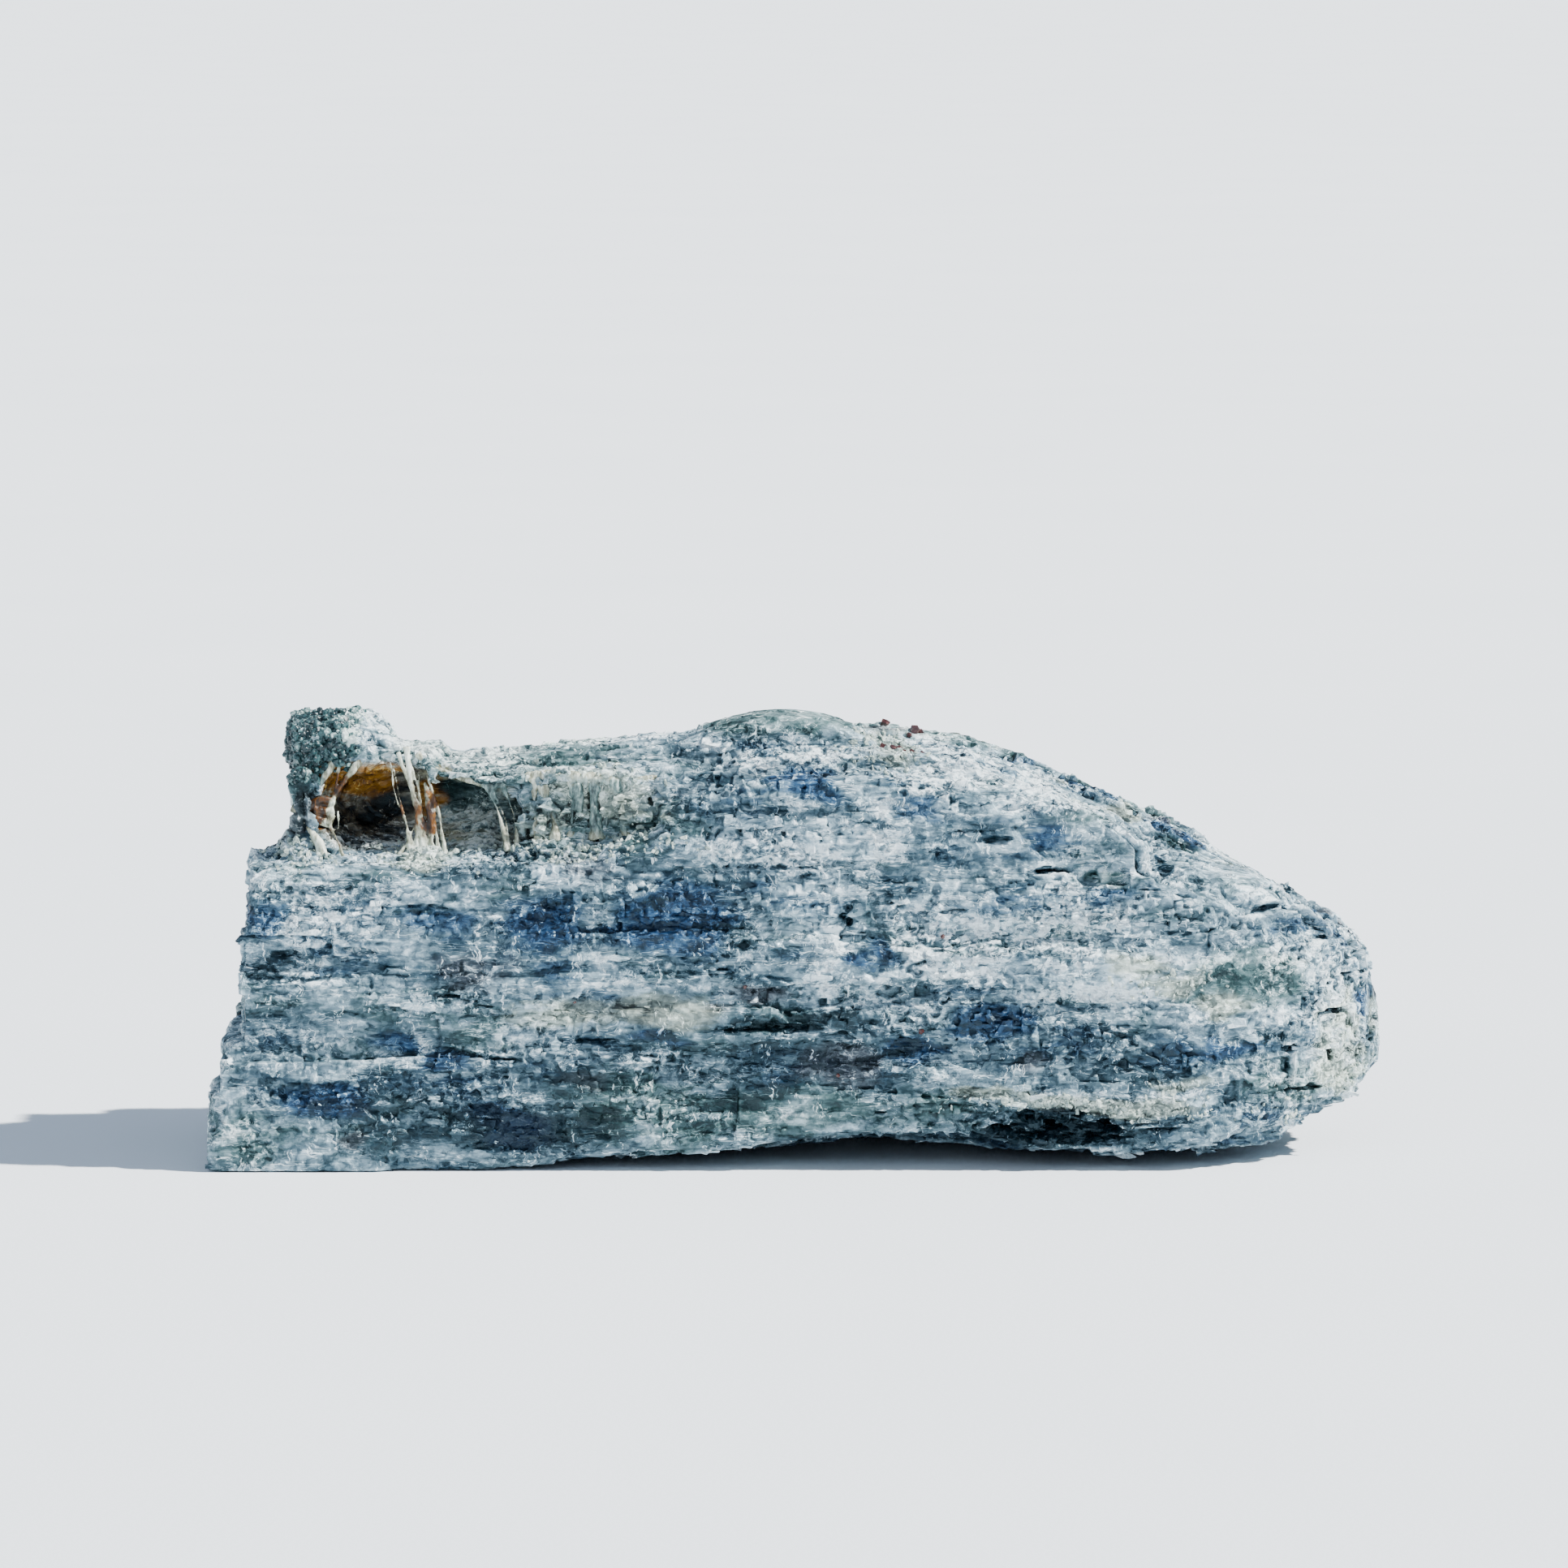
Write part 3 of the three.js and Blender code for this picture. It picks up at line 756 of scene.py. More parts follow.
class Growth:  # a tree that grows shapes on or along a mesh, with its sizes as named inputs
    def __init__(self, name, sizes):
        self.tree = bpy.data.node_groups.new(name, "GeometryNodeTree")
        self.tree.interface.new_socket("Geometry", in_out="INPUT", socket_type="NodeSocketGeometry")
        self.tree.interface.new_socket("Geometry", in_out="OUTPUT", socket_type="NodeSocketGeometry")
        self.sizes = sizes
        for label in sizes:
            self.tree.interface.new_socket(label, in_out="INPUT", socket_type="NodeSocketFloat")
        self.given = self.tree.nodes.new("NodeGroupInput")

    def size(self, label):
        return self.given.outputs[label]

    def add(self, kind, settings=None, sockets=None, out=0):
        node = self.tree.nodes.new(kind)
        for label, value in (settings or {}).items():
            setattr(node, label, value)
        for label, value in (sockets or {}).items():
            socket = node.inputs[label]
            if isinstance(value, bpy.types.NodeSocket):
                self.tree.links.new(value, socket)
            else:
                socket.default_value = value
        return node.outputs[out]

    def stored(self, name):
        return self.add("GeometryNodeInputNamedAttribute", {"data_type": "FLOAT"}, {"Name": name})

    def maths(self, operation, first, second):
        return self.add("ShaderNodeMath", {"operation": operation}, {0: first, 1: second})

    def between(self, low, high, seed, kind="FLOAT"):  # a random number or vector for each piece
        lowPin, highPin, result = {"FLOAT": (2, 3, 1), "FLOAT_VECTOR": (0, 1, 0)}[kind]
        sockets = {lowPin: low, highPin: high, "Seed": seed}
        return self.add("FunctionNodeRandomValue", {"data_type": kind}, sockets, out=result)

    def scattered(self, density, seed):
        sockets = {"Mesh": self.given.outputs["Geometry"], "Density": density, "Seed": seed}
        return self.add("GeometryNodeDistributePointsOnFaces", {"distribute_method": "RANDOM"}, sockets)

    def place(self, points, shapes, rotation, scale, pick, material):  # one of the shapes on every point
        sockets = {"Collection": shapes, "Separate Children": True}
        one = self.add("GeometryNodeCollectionInfo", None, sockets)
        placed = self.add("GeometryNodeInstanceOnPoints", None, {
            "Points": points,
            "Instance": one,
            "Pick Instance": True,
            "Rotation": rotation,
            "Scale": scale,
        })
        settings = {"data_type": "FLOAT", "domain": "INSTANCE"}
        sockets = {"Geometry": placed, "Name": "pick", "Value": pick}
        self.finish(self.add("GeometryNodeStoreNamedAttribute", settings, sockets), material)

    def finish(self, geometry, material):
        solid = self.add("GeometryNodeRealizeInstances", None, {"Geometry": geometry})
        named = self.add("GeometryNodeSetMaterial", None, {"Geometry": solid, "Material": material})
        result = self.tree.nodes.new("NodeGroupOutput")
        self.tree.links.new(named, result.inputs["Geometry"])

    def grownOn(self, mesh, name):  # runs the tree on a copy of the mesh and keeps only what it made
        piece = objectFrom(mesh.copy(), name)
        modifier = piece.modifiers.new(name, "NODES")
        modifier.node_group = self.tree
        for item in self.tree.interface.items_tree:
            if item.in_out == "INPUT" and item.name in self.sizes:
                modifier[item.identifier] = float(self.sizes[item.name])
        return applied(piece)


splinters = {
    "sizes": {
        "perSquare": 0.75,  # splinters on each square millimetre of chipped stone
        "longest": 2.3,
        "shortest": 0.5,
        "tilt": 0.22,  # radians
    },
    "shapes": 7,
    "outline": [
        (-0.5, -0.16), (-0.42, 0.17), (-0.1, 0.21), (0.46, 0.15), (0.5, 0.02), (0.38, -0.17), (0.05, -0.2),
    ],
    "ragged": (0.22, 0.13),  # how far the corners stray, along and across
}


def splinterShape(index, thickness=1):  # a thin ragged plate, one millimetre long, lying along X
    random = np.random.default_rng(70 + index)
    outline = np.array(splinters["outline"])
    outline = outline + (random.random(outline.shape) - 0.5) * splinters["ragged"]
    form = bmesh.new()
    rims = []
    for height, shrink in ((0.05, 0.9), (-0.05, 1.0)):
        lift = thickness * height + 0.02 * (random.random(len(outline)) - 0.5)
        rims.append([form.verts.new((x * shrink, y * shrink, z)) for (x, y), z in zip(outline, lift)])
    form.faces.new(rims[0])
    form.faces.new(rims[1][::-1])
    for corner in range(len(outline)):
        after = (corner + 1) % len(outline)
        form.faces.new((rims[0][after], rims[0][corner], rims[1][corner], rims[1][after]))
    bmesh.ops.recalc_face_normals(form, faces=form.faces)
    mesh = bpy.data.meshes.new("splinter")
    form.to_mesh(mesh)
    form.free()
    return mesh


def collected(name, meshes):  # a collection of shapes to scatter, kept out of the scene
    group = bpy.data.collections.new(name)
    for index, mesh in enumerate(meshes):
        group.objects.link(bpy.data.objects.new(f"{name}_{index}", mesh))
    return group


def scatterSplinters(stoneMesh, material):
    shapes = collected("splinter", [splinterShape(index) for index in range(splinters["shapes"])])
    g = Growth("splinters", splinters["sizes"])
    density = g.maths("MULTIPLY", g.stored("chipped"), g.size("perSquare"))
    density = g.maths("MULTIPLY", density, g.maths("SUBTRACT", 1.0, g.stored("upward")))
    points = g.scattered(density, 81)
    outward = points.node.outputs["Normal"]
    settings = {"axis": "Z", "pivot_axis": "X"}
    lying = g.add("FunctionNodeAlignRotationToVector", settings, {"Vector": outward})
    lean = g.size("tilt")
    back = g.maths("MULTIPLY", lean, -1.0)
    swing = g.add("ShaderNodeCombineXYZ", None, {0: lean, 1: lean, 2: lean})
    swingBack = g.add("ShaderNodeCombineXYZ", None, {0: back, 1: back, 2: back})
    turn = g.add("FunctionNodeEulerToRotation", None, {0: g.between(swingBack, swing, 82, "FLOAT_VECTOR")})
    rotation = g.add("FunctionNodeRotateRotation", {"rotation_space": "LOCAL"}, {0: lying, 1: turn})
    drawn = g.maths("POWER", g.between(0.0, 1.0, 83), 2.5)
    span = g.maths("SUBTRACT", g.size("longest"), g.size("shortest"))
    length = g.maths("ADD", g.maths("MULTIPLY", drawn, span), g.size("shortest"))
    width = g.maths("MULTIPLY", length, g.between(0.5, 1.3, 84))
    thick = g.between(0.5, 2.0, 85)
    scale = g.add("ShaderNodeCombineXYZ", None, {0: length, 1: width, 2: thick})
    g.place(points, shapes, rotation, scale, g.between(-1.0, 1.0, 86), material)
    return g.grownOn(stoneMesh, "cleavage_splinters")


# Each strand runs from its top to its foot: points (x, z), then its thickness at each point.
strands = [
    ([(-37.0, 38.3), (-36.4, 36.6), (-35.5, 34.3), (-35.0, 32.0), (-34.6, 28.9)],
     [0.24, 0.15, 0.20, 0.16, 0.34]),
    ([(-36.2, 38.8), (-36.0, 36.9), (-35.6, 34.5), (-35.3, 32.2), (-35.2, 28.9)],
     [0.40, 0.22, 0.22, 0.12, 0.28]),
    ([(-36.0, 37.6), (-35.3, 35.6), (-34.9, 33.8), (-34.6, 31.6), (-34.3, 28.9)],
     [0.20, 0.12, 0.13, 0.11, 0.26]),
    ([(-35.5, 34.3), (-34.5, 32.0), (-33.5, 28.9)], [0.18, 0.12, 0.28]),
    ([(-35.0, 36.3), (-34.9, 32.8), (-34.1, 28.9)], [0.10, 0.09, 0.26]),
    ([(-34.3, 36.2), (-33.3, 33.3), (-32.9, 31.2), (-32.6, 28.9)], [0.09, 0.15, 0.12, 0.26]),
    ([(-34.5, 35.6), (-33.7, 33.6), (-33.4, 31.4), (-33.2, 28.9)], [0.08, 0.12, 0.09, 0.24]),
    ([(-37.7, 37.4), (-37.2, 34.3), (-36.3, 32.0), (-35.8, 28.9)], [0.08, 0.09, 0.09, 0.26]),
    ([(-37.4, 36.9), (-36.8, 34.0), (-36.0, 31.4), (-35.4, 28.9)], [0.06, 0.07, 0.06, 0.22]),
    ([(-34.5, 35.4), (-34.0, 32.6), (-33.8, 29.6)], [0.12, 0.34, 0.12]),
    ([(-35.4, 31.6), (-36.2, 29.8), (-37.0, 28.8)], [0.09, 0.11, 0.24]),
    ([(-35.2, 38.2), (-34.3, 37.2), (-33.6, 36.4)], [0.35, 0.26, 0.28]),
    ([(-28.8, 35.2), (-28.3, 34.2), (-27.5, 32.4), (-26.8, 29.2)], [0.36, 0.17, 0.14, 0.28]),
    ([(-28.2, 34.9), (-27.6, 33.6), (-26.9, 31.8), (-26.5, 29.2)], [0.20, 0.08, 0.08, 0.22]),
    ([(-27.2, 35.0), (-26.6, 33.8), (-26.1, 32.0), (-25.8, 29.2)], [0.34, 0.10, 0.09, 0.26]),
    ([(-24.4, 36.0), (-24.2, 33.8), (-24.0, 30.0)], [0.60, 0.16, 0.40]),
    ([(-23.4, 35.8), (-23.2, 34.2), (-22.8, 32.6)], [0.70, 0.45, 0.20]),
    ([(-22.6, 33.0), (-22.3, 31.8), (-22.2, 30.2)], [0.45, 0.36, 0.70]),
    ([(-20.9, 36.0), (-20.7, 33.4), (-20.9, 30.6)], [0.55, 0.15, 0.40]),
    ([(-20.4, 35.6), (-20.2, 34.0), (-20.0, 32.8)], [0.80, 0.55, 0.25]),
    ([(-18.6, 35.8), (-18.6, 33.2), (-18.3, 30.4)], [0.50, 0.42, 0.75]),
    ([(-16.4, 35.6), (-16.2, 33.6), (-15.6, 30.8)], [0.60, 0.30, 0.65]),
    ([(-14.4, 35.2), (-14.2, 33.8), (-13.6, 31.6)], [0.50, 0.40, 0.55]),
    ([(-13.0, 34.6), (-12.2, 33.4), (-11.4, 32.2)], [0.18, 0.10, 0.22]),
    ([(-34.0, 36.9), (-32.0, 36.3), (-30.2, 35.7), (-28.2, 35.3), (-26.4, 35.7), (-24.2, 36.2)],
     [0.30, 0.26, 0.34, 0.40, 0.36, 0.44]),
    ([(-24.2, 36.2), (-21.6, 36.3), (-18.8, 36.1), (-15.6, 35.8), (-12.4, 36.2)],
     [0.46, 0.54, 0.55, 0.50, 0.30]),
    ([(-42.4, 37.4), (-42.9, 34.6), (-43.1, 33.4)], [0.14, 0.15, 0.28]),
    ([(-40.4, 37.7), (-41.9, 35.7), (-42.8, 34.4), (-43.1, 33.6)], [0.42, 0.30, 0.22, 0.26]),
    ([(-43.0, 37.4), (-44.2, 35.4), (-45.4, 34.2), (-46.4, 33.4)], [0.42, 0.28, 0.24, 0.3]),
    ([(-42.9, 33.5), (-43.9, 33.9), (-45.2, 33.3), (-45.7, 31.7)], [0.34, 0.45, 0.42, 0.20]),
    ([(-45.6, 32.3), (-44.6, 32.2), (-43.6, 31.8), (-43.1, 32.6)], [0.24, 0.40, 0.45, 0.32]),
    ([(-44.9, 32.9), (-43.9, 32.9), (-42.9, 32.9)], [0.42, 0.50, 0.34]),
    ([(-45.8, 32.6), (-46.4, 33.0), (-46.9, 33.2)], [0.34, 0.30, 0.40]),
    ([(-43.3, 31.5), (-42.5, 30.0), (-42.0, 28.6)], [0.20, 0.11, 0.24]),
    ([(-42.6, 33.0), (-42.5, 31.4), (-43.0, 31.2)], [0.14, 0.08, 0.12]),
    ([(-45.4, 31.5), (-44.7, 30.5), (-44.1, 29.6), (-43.8, 28.6)], [0.16, 0.40, 0.46, 0.40]),
    ([(-45.2, 31.4), (-44.4, 29.9), (-44.4, 28.6)], [0.12, 0.28, 0.30]),
]
curtain = {
    "top": -7.9,  # how far forward the strands' tops, their feet and the pillars stand
    "foot": -9.8,
    "pillars": -10.3,
    "pillarsFrom": -27,  # the strands give way to pillars from here, over this width
    "pillarsOver": 9,
    "step": 0.25,  # along a strand
    "wobble": 0.3,
    "voxel": 0.10,
    "rounds": 2,
    "cream": [(0.0, (0.06, 0.055, 0.032)), (0.35, (0.30, 0.31, 0.22)), (0.7, (0.64, 0.68, 0.55)),
              (1.0, (0.86, 0.90, 0.80))],
    "green": [(0.0, (0.02, 0.045, 0.045)), (0.35, (0.12, 0.19, 0.18)), (0.7, (0.40, 0.52, 0.48)),
              (1.0, (0.80, 0.88, 0.83))],
    "rust": [(0.0, (0.015, 0.006, 0.001)), (0.35, (0.09, 0.030, 0.002)), (0.7, (0.25, 0.10, 0.006)),
             (1.0, (0.62, 0.42, 0.12))],
}
curtainPatches = {
    "rust": [
        (-44.6, 33.2, 1.4, 1.4, 1), (-42.4, 35.2, 1.2, 1.2, 1), (-33.8, 32.6, 0.7, 2.2, 1.1),
        (-35.2, 32.6, 0.6, 1.8, 0.5), (-36.8, 33, 0.5, 1.6, 0.7), (-42.7, 30.4, 0.6, 1.4, 0.4),
    ],
    "white": [
        (-44.3, 29.8, 1.0, 1.6, 1.2), (-36, 37.8, 1.4, 1.8, 1), (-43.2, 33.0, 0.6, 0.5, 1),
        (-20, 35.8, 8, 0.7, 0.7), (-34.6, 29.4, 2.4, 0.8, 1), (-43.9, 31.7, 0.5, 0.3, 1),
    ],
    "green": [
        (-44.4, 35.4, 1.2, 1.2, 1), (-27, 34.6, 3, 1.6, 0.9), (-17, 33.4, 7, 2.6, 1.2),
        (-34.2, 36.8, 1, 1, 0.7),
    ],
}


def strandLines():
    mesh = bpy.data.meshes.new("strands")
    points, links, thick = [], [], []
    for path, widths in strands:
        start = len(points)
        highest, lowest = 38.0, 29.0
        for across, height in path:
            part = (highest - height) / (highest - lowest)
            front = curtain["top"] + (curtain["foot"] - curtain["top"]) * part
            rightward = min(max((across - curtain["pillarsFrom"]) / curtain["pillarsOver"], 0), 1)
            points.append((across, front + (curtain["pillars"] - front) * rightward, height))
        links += [(start + step, start + step + 1) for step in range(len(path) - 1)]
        thick += widths
    mesh.from_pydata(points, links, [])
    store(mesh, "thick", np.array(thick))
    return mesh


def growCurtain():
    f = Finish("strands")
    ragged = f.bent((1.0, 1.0, 1.6), (0.3, 0.2, 0.3))
    flow = f.noise((0.35, 0.6, 2.4), 4, 0.6, ragged) - 0.5
    fleck = f.noise((0.25, 0.25, 0.4), 3, 0.6) - 0.5
    tone = 0.42 + 1.7 * flow + 1.1 * fleck + 0.35 * f.stored("white") - 0.16 * f.stored("green")
    tone = tone - 0.3 * f.stored("rust")
    colour = f.ramp(tone, curtain["cream"])
    colour = f.mix((f.stored("green") + flow).step(0.3, 0.8), colour, f.ramp(tone, curtain["green"]))
    rusty = (f.stored("rust") + 1.3 * flow - 0.5 * f.stored("white")).step(0.1, 0.6)
    colour = f.mix(rusty, colour, f.ramp(tone, curtain["rust"]))
    material = f.done(Base_Color=colour, Roughness=0.42, Normal=f.bump(0.10 * flow + 0.05 * fleck),
                      Subsurface_Weight=0.15, Subsurface_Scale=0.0006, Subsurface_Radius=(1.0, 1.0, 0.7))
    g = Growth("curtain", {"step": curtain["step"], "wobble": curtain["wobble"]})
    lines = g.add("GeometryNodeMeshToCurve", None, {"Mesh": g.given.outputs["Geometry"]})
    smooth = g.add("GeometryNodeCurveSplineType", {"spline_type": "CATMULL_ROM"}, {"Curve": lines})
    sockets = {"Curve": smooth, "Length": g.size("step")}
    fine = g.add("GeometryNodeResampleCurve", {"mode": "LENGTH"}, sockets)
    ring = g.add("GeometryNodeCurvePrimitiveCircle", None, {"Resolution": 8, "Radius": 1.0})
    tube = g.add("GeometryNodeCurveToMesh", None,
                 {"Curve": fine, "Profile Curve": ring, "Scale": g.stored("thick"), "Fill Caps": True})
    push = g.add("ShaderNodeTexNoise", None, {"Scale": 1.1, "Detail": 2.0}, out=1)
    centred = g.add("ShaderNodeVectorMath", {"operation": "SUBTRACT"}, {0: push, 1: (0.5, 0.5, 0.5)})
    offset = g.add("ShaderNodeVectorMath", {"operation": "SCALE"}, {0: centred, "Scale": g.size("wobble")})
    bent = g.add("GeometryNodeSetPosition", None, {"Geometry": tube, "Offset": offset})
    g.finish(bent, material)
    piece = g.grownOn(strandLines(), "hollow_curtain")
    addModifier(piece, "REMESH", mode="VOXEL", voxel_size=curtain["voxel"], use_smooth_shade=True)
    applied(piece)
    edges = edgesOf(piece.data)
    points = averaged(pointsOf(piece.data), edges, curtain["rounds"])
    swell = 0.05 + 0.10 * ramp(points[:, 0], -28, -24)  # the pillars are rougher than the strands
    swell = swell * roughNoise(points, (0.7, 0.6, 0.9), 230)
    movePoints(piece.data, points + normalsOf(piece.data) * swell[:, None])
    push = np.stack([roughNoise(points, (1.2, 1, 1), seed) for seed in (231, 232, 233)], axis=1)
    ragged = points + 0.5 * push
    for name, rows in curtainPatches.items():
        store(piece.data, name, insidePatches(ragged, rows))
    piece.data.materials.clear()
    piece.data.materials.append(material)
    return piece


def scatterTree(name, sizes, shapes, material, seed):  # small shapes turned every way over their own area
    g = Growth(name, sizes)
    density = g.maths("MULTIPLY", g.stored(name), g.size("perSquare"))
    points = g.scattered(density, seed)
    fullTurn = (6.28,) * 3
    angles = g.between((0, 0, 0), fullTurn, seed + 1, "FLOAT_VECTOR")
    turn = g.add("FunctionNodeEulerToRotation", None, {0: angles})
    drawn = g.maths("POWER", g.between(0.0, 1.0, seed + 2), 2.0)  # more small ones than large
    span = g.maths("SUBTRACT", g.size("largest"), g.size("smallest"))
    size = g.maths("ADD", g.maths("MULTIPLY", drawn, span), g.size("smallest"))
    scale = g.add("ShaderNodeCombineXYZ", None, {0: size, 1: size, 2: size})
    g.place(points, shapes, turn, scale, g.between(0.0, 1.0, seed + 3), material)
    return g


def lumpShape(index, squash, detail=2):  # a small ball with a dented surface, 1 mm across
    form = bmesh.new()
    bmesh.ops.create_icosphere(form, subdivisions=detail, radius=0.5)
    mesh = bpy.data.meshes.new("lump")
    form.to_mesh(mesh)
    form.free()
    points = pointsOf(mesh)
    dents = 1 + 0.5 * roughNoise(points, (0.35,) * 3, 200 + 3 * index, 2)
    movePoints(mesh, points * dents[:, None] * squash)
    return mesh


def crystalShape(index):  # a stubby six-sided crystal with a pointed end
    random = np.random.default_rng(300 + index)
    form = bmesh.new()
    bmesh.ops.create_cone(form, cap_ends=True, segments=6, radius1=0.3, radius2=0.3, depth=0.7)
    bmesh.ops.create_cone(form, cap_ends=True, segments=6, radius1=0.3, radius2=0.08, depth=0.2,
                          matrix=Matrix.Translation((0, 0, 0.45)))
    stray = 0.05
    for vert in form.verts:
        vert.co.x += stray * (random.random() - 0.5)
        vert.co.y += stray * (random.random() - 0.5)
    mesh = bpy.data.meshes.new("crystal")
    form.to_mesh(mesh)
    form.free()
    return mesh


druse = {
    "sizes": {"perSquare": 11.0, "largest": 0.85, "smallest": 0.25},
    "seed": 210,
    "colours": [(0.0, (0.004, 0.020, 0.024)), (0.4, (0.025, 0.072, 0.078)), (0.7, (0.11, 0.20, 0.195)),
                (1.0, (0.60, 0.72, 0.68))],
}


def growDruse(stoneMesh):
    f = Finish("druse")
    veil = f.noise((1.6, 1.6, 1.6), 3, 0.6) - 0.5
    fleck = f.noise((0.3, 0.3, 0.3), 3, 0.6) - 0.5
    tone = 0.26 + 0.8 * (f.stored("pick") - 0.5) + 1.8 * veil + 1.2 * fleck + 0.5 * f.stored("white")
    colour = f.ramp(tone, druse["colours"])
    normal = f.bump(0.08 * fleck)
    material = f.done(Base_Color=colour, Roughness=0.35, Normal=normal, Specular_IOR_Level=0.5)
    lumps = [lumpShape(index, (1, 1, 1.2)) for index in range(4)]
    shapes = collected("druse", lumps + [crystalShape(index) for index in range(3)])
    g = scatterTree("druse", druse["sizes"], shapes, material, druse["seed"])
    return g.grownOn(stoneMesh, "knob_druse")


crust = {
    "sizes": {"perSquare": 4.5, "largest": 0.8, "smallest": 0.25},
    "seed": 220,
    "shardThickness": 4,  # times that of a splinter
    "colours": [(0.0, (0.06, 0.09, 0.09)), (0.35, (0.26, 0.33, 0.31)), (0.7, (0.58, 0.66, 0.58)),
                (1.0, (0.84, 0.88, 0.80))],
}


def growCrust(stoneMesh):
    f = Finish("crust")
    veil = f.noise((2.0, 1.4, 1.0), 3, 0.6) - 0.5
    fleck = f.noise((0.35, 0.3, 0.3), 3, 0.65) - 0.5
    colour = f.ramp(0.50 + 0.3 * (f.stored("pick") - 0.5) + 1.5 * veil + 1.2 * fleck, crust["colours"])
    normal = f.bump(0.10 * fleck)
    material = f.done(Base_Color=colour, Roughness=0.6, Normal=normal, Specular_IOR_Level=0.3)
    shards = [splinterShape(index + 20, crust["shardThickness"]) for index in range(5)]
    lumps = [lumpShape(index + 9, (1.3, 1, 0.7), 1) for index in range(4)]
    shapes = collected("crust", lumps + shards)
    g = scatterTree("crust", crust["sizes"], shapes, material, crust["seed"])
    return g.grownOn(stoneMesh, "pale_crust")


garnets = {
    "middle": (10.2, 39.7),  # (x, z) of the cluster on the shoulder of the lens
    "count": 16,
    "reach": (2.0, 1.1),
    "largest": 0.7,
    "smallest": 0.3,
    "alone": [  # single grains on the front: (x, z) and size
        (11.7, 13.2, 0.34), (13.7, 22.0, 0.26), (-20.4, 15.9, 0.2), (-4.6, 17.4, 0.24), (4.0, 9.0, 0.22),
    ],
    "seed": 240,
    "colours": [(0.25, (0.014, 0.004, 0.004)), (0.5, (0.046, 0.012, 0.011)), (0.7, (0.15, 0.075, 0.065))],
}


def growGarnets(stoneMesh):
    random = np.random.default_rng(garnets["seed"])
    faces = [tuple(face.vertices) for face in stoneMesh.polygons]
    surface = BVHTree.FromPolygons(pointsOf(stoneMesh), faces)
    spots = list(garnets["alone"])
    for _ in range(garnets["count"]):
        across, up = (random.random(2) - 0.5) * 2 * garnets["reach"]
        size = garnets["smallest"] + (garnets["largest"] - garnets["smallest"]) * random.random() ** 1.5
        spots.append((garnets["middle"][0] + across, garnets["middle"][1] + up, size))
    points = list(itertools.product((-1, 1), repeat=3))  # a grain is a cube with a peak on each side
    for axis, side in itertools.product(range(3), (-1, 1)):
        points.append(tuple(2 * side * (axis == n) for n in range(3)))
    form = bmesh.new()
    inFront = -40
    overhead = 60
    crest = -6
    for across, height, size in spots:
        hit = surface.ray_cast(Vector((across, inFront, height)), Vector((0, 1, 0)))[0]
        if hit is None:  # higher than the crest, so it settles on it from above
            hit = surface.ray_cast(Vector((across, crest, overhead)), Vector((0, 0, -1)))[0]
        turn = Euler(random.random(3) * 6).to_quaternion()
        place = Matrix.LocRotScale(hit - Vector((0, size * 0.1, 0)), turn, (size * 0.5,) * 3)
        verts = [form.verts.new(place @ Vector(point)) for point in points]
        bmesh.ops.convex_hull(form, input=verts)
    bmesh.ops.recalc_face_normals(form, faces=form.faces)
    mesh = bpy.data.meshes.new("garnets")
    form.to_mesh(mesh)
    form.free()
    f = Finish("garnet")
    veil = f.noise((0.5, 0.5, 0.5), 3, 0.6)
    colour = f.ramp(veil, garnets["colours"])
    mesh.materials.append(f.done(Base_Color=colour, Roughness=0.22, Coat_Weight=0.3))
    return objectFrom(mesh, "garnets")


# The kyanite's colours, each from the palest flake to the deepest part of a blade.
kyaniteColours = {
    "steel": [(0.0, (0.74, 0.84, 0.87)), (0.18, (0.36, 0.48, 0.54)), (0.38, (0.160, 0.234, 0.276)),
              (0.58, (0.064, 0.106, 0.131)), (0.78, (0.015, 0.036, 0.050)), (1.0, (0.001, 0.008, 0.013))],
    "navy": [(0.0, (0.70, 0.82, 0.89)), (0.2, (0.30, 0.45, 0.58)), (0.4, (0.095, 0.190, 0.31)),
             (0.6, (0.028, 0.080, 0.165)), (0.8, (0.006, 0.026, 0.072)), (1.0, (0.001, 0.006, 0.020))],
    "green": [(0.0, (0.74, 0.83, 0.80)), (0.2, (0.38, 0.49, 0.49)), (0.4, (0.165, 0.24, 0.245)),
              (0.6, (0.062, 0.112, 0.114)), (0.8, (0.014, 0.038, 0.038)), (1.0, (0.002, 0.009, 0.009))],
    "cream": [(0.0, (0.80, 0.88, 0.76)), (0.3, (0.50, 0.57, 0.47)), (0.6, (0.19, 0.225, 0.19)),
              (1.0, (0.02, 0.022, 0.018))],
    "brown": [(0.0, (0.60, 0.60, 0.60)), (0.3, (0.20, 0.19, 0.20)), (0.6, (0.055, 0.048, 0.055)),
              (1.0, (0.005, 0.005, 0.006))],
    "rust": [(0.0, (0.70, 0.46, 0.14)), (0.4, (0.42, 0.18, 0.014)), (0.8, (0.14, 0.052, 0.004)),
             (1.0, (0.02, 0.009, 0.003))],
    "hollow": [(0.0, (0.80, 0.80, 0.66)), (0.3, (0.46, 0.44, 0.28)), (0.6, (0.21, 0.175, 0.075)),
               (0.85, (0.06, 0.038, 0.010)), (1.0, (0.010, 0.006, 0.002))],
}


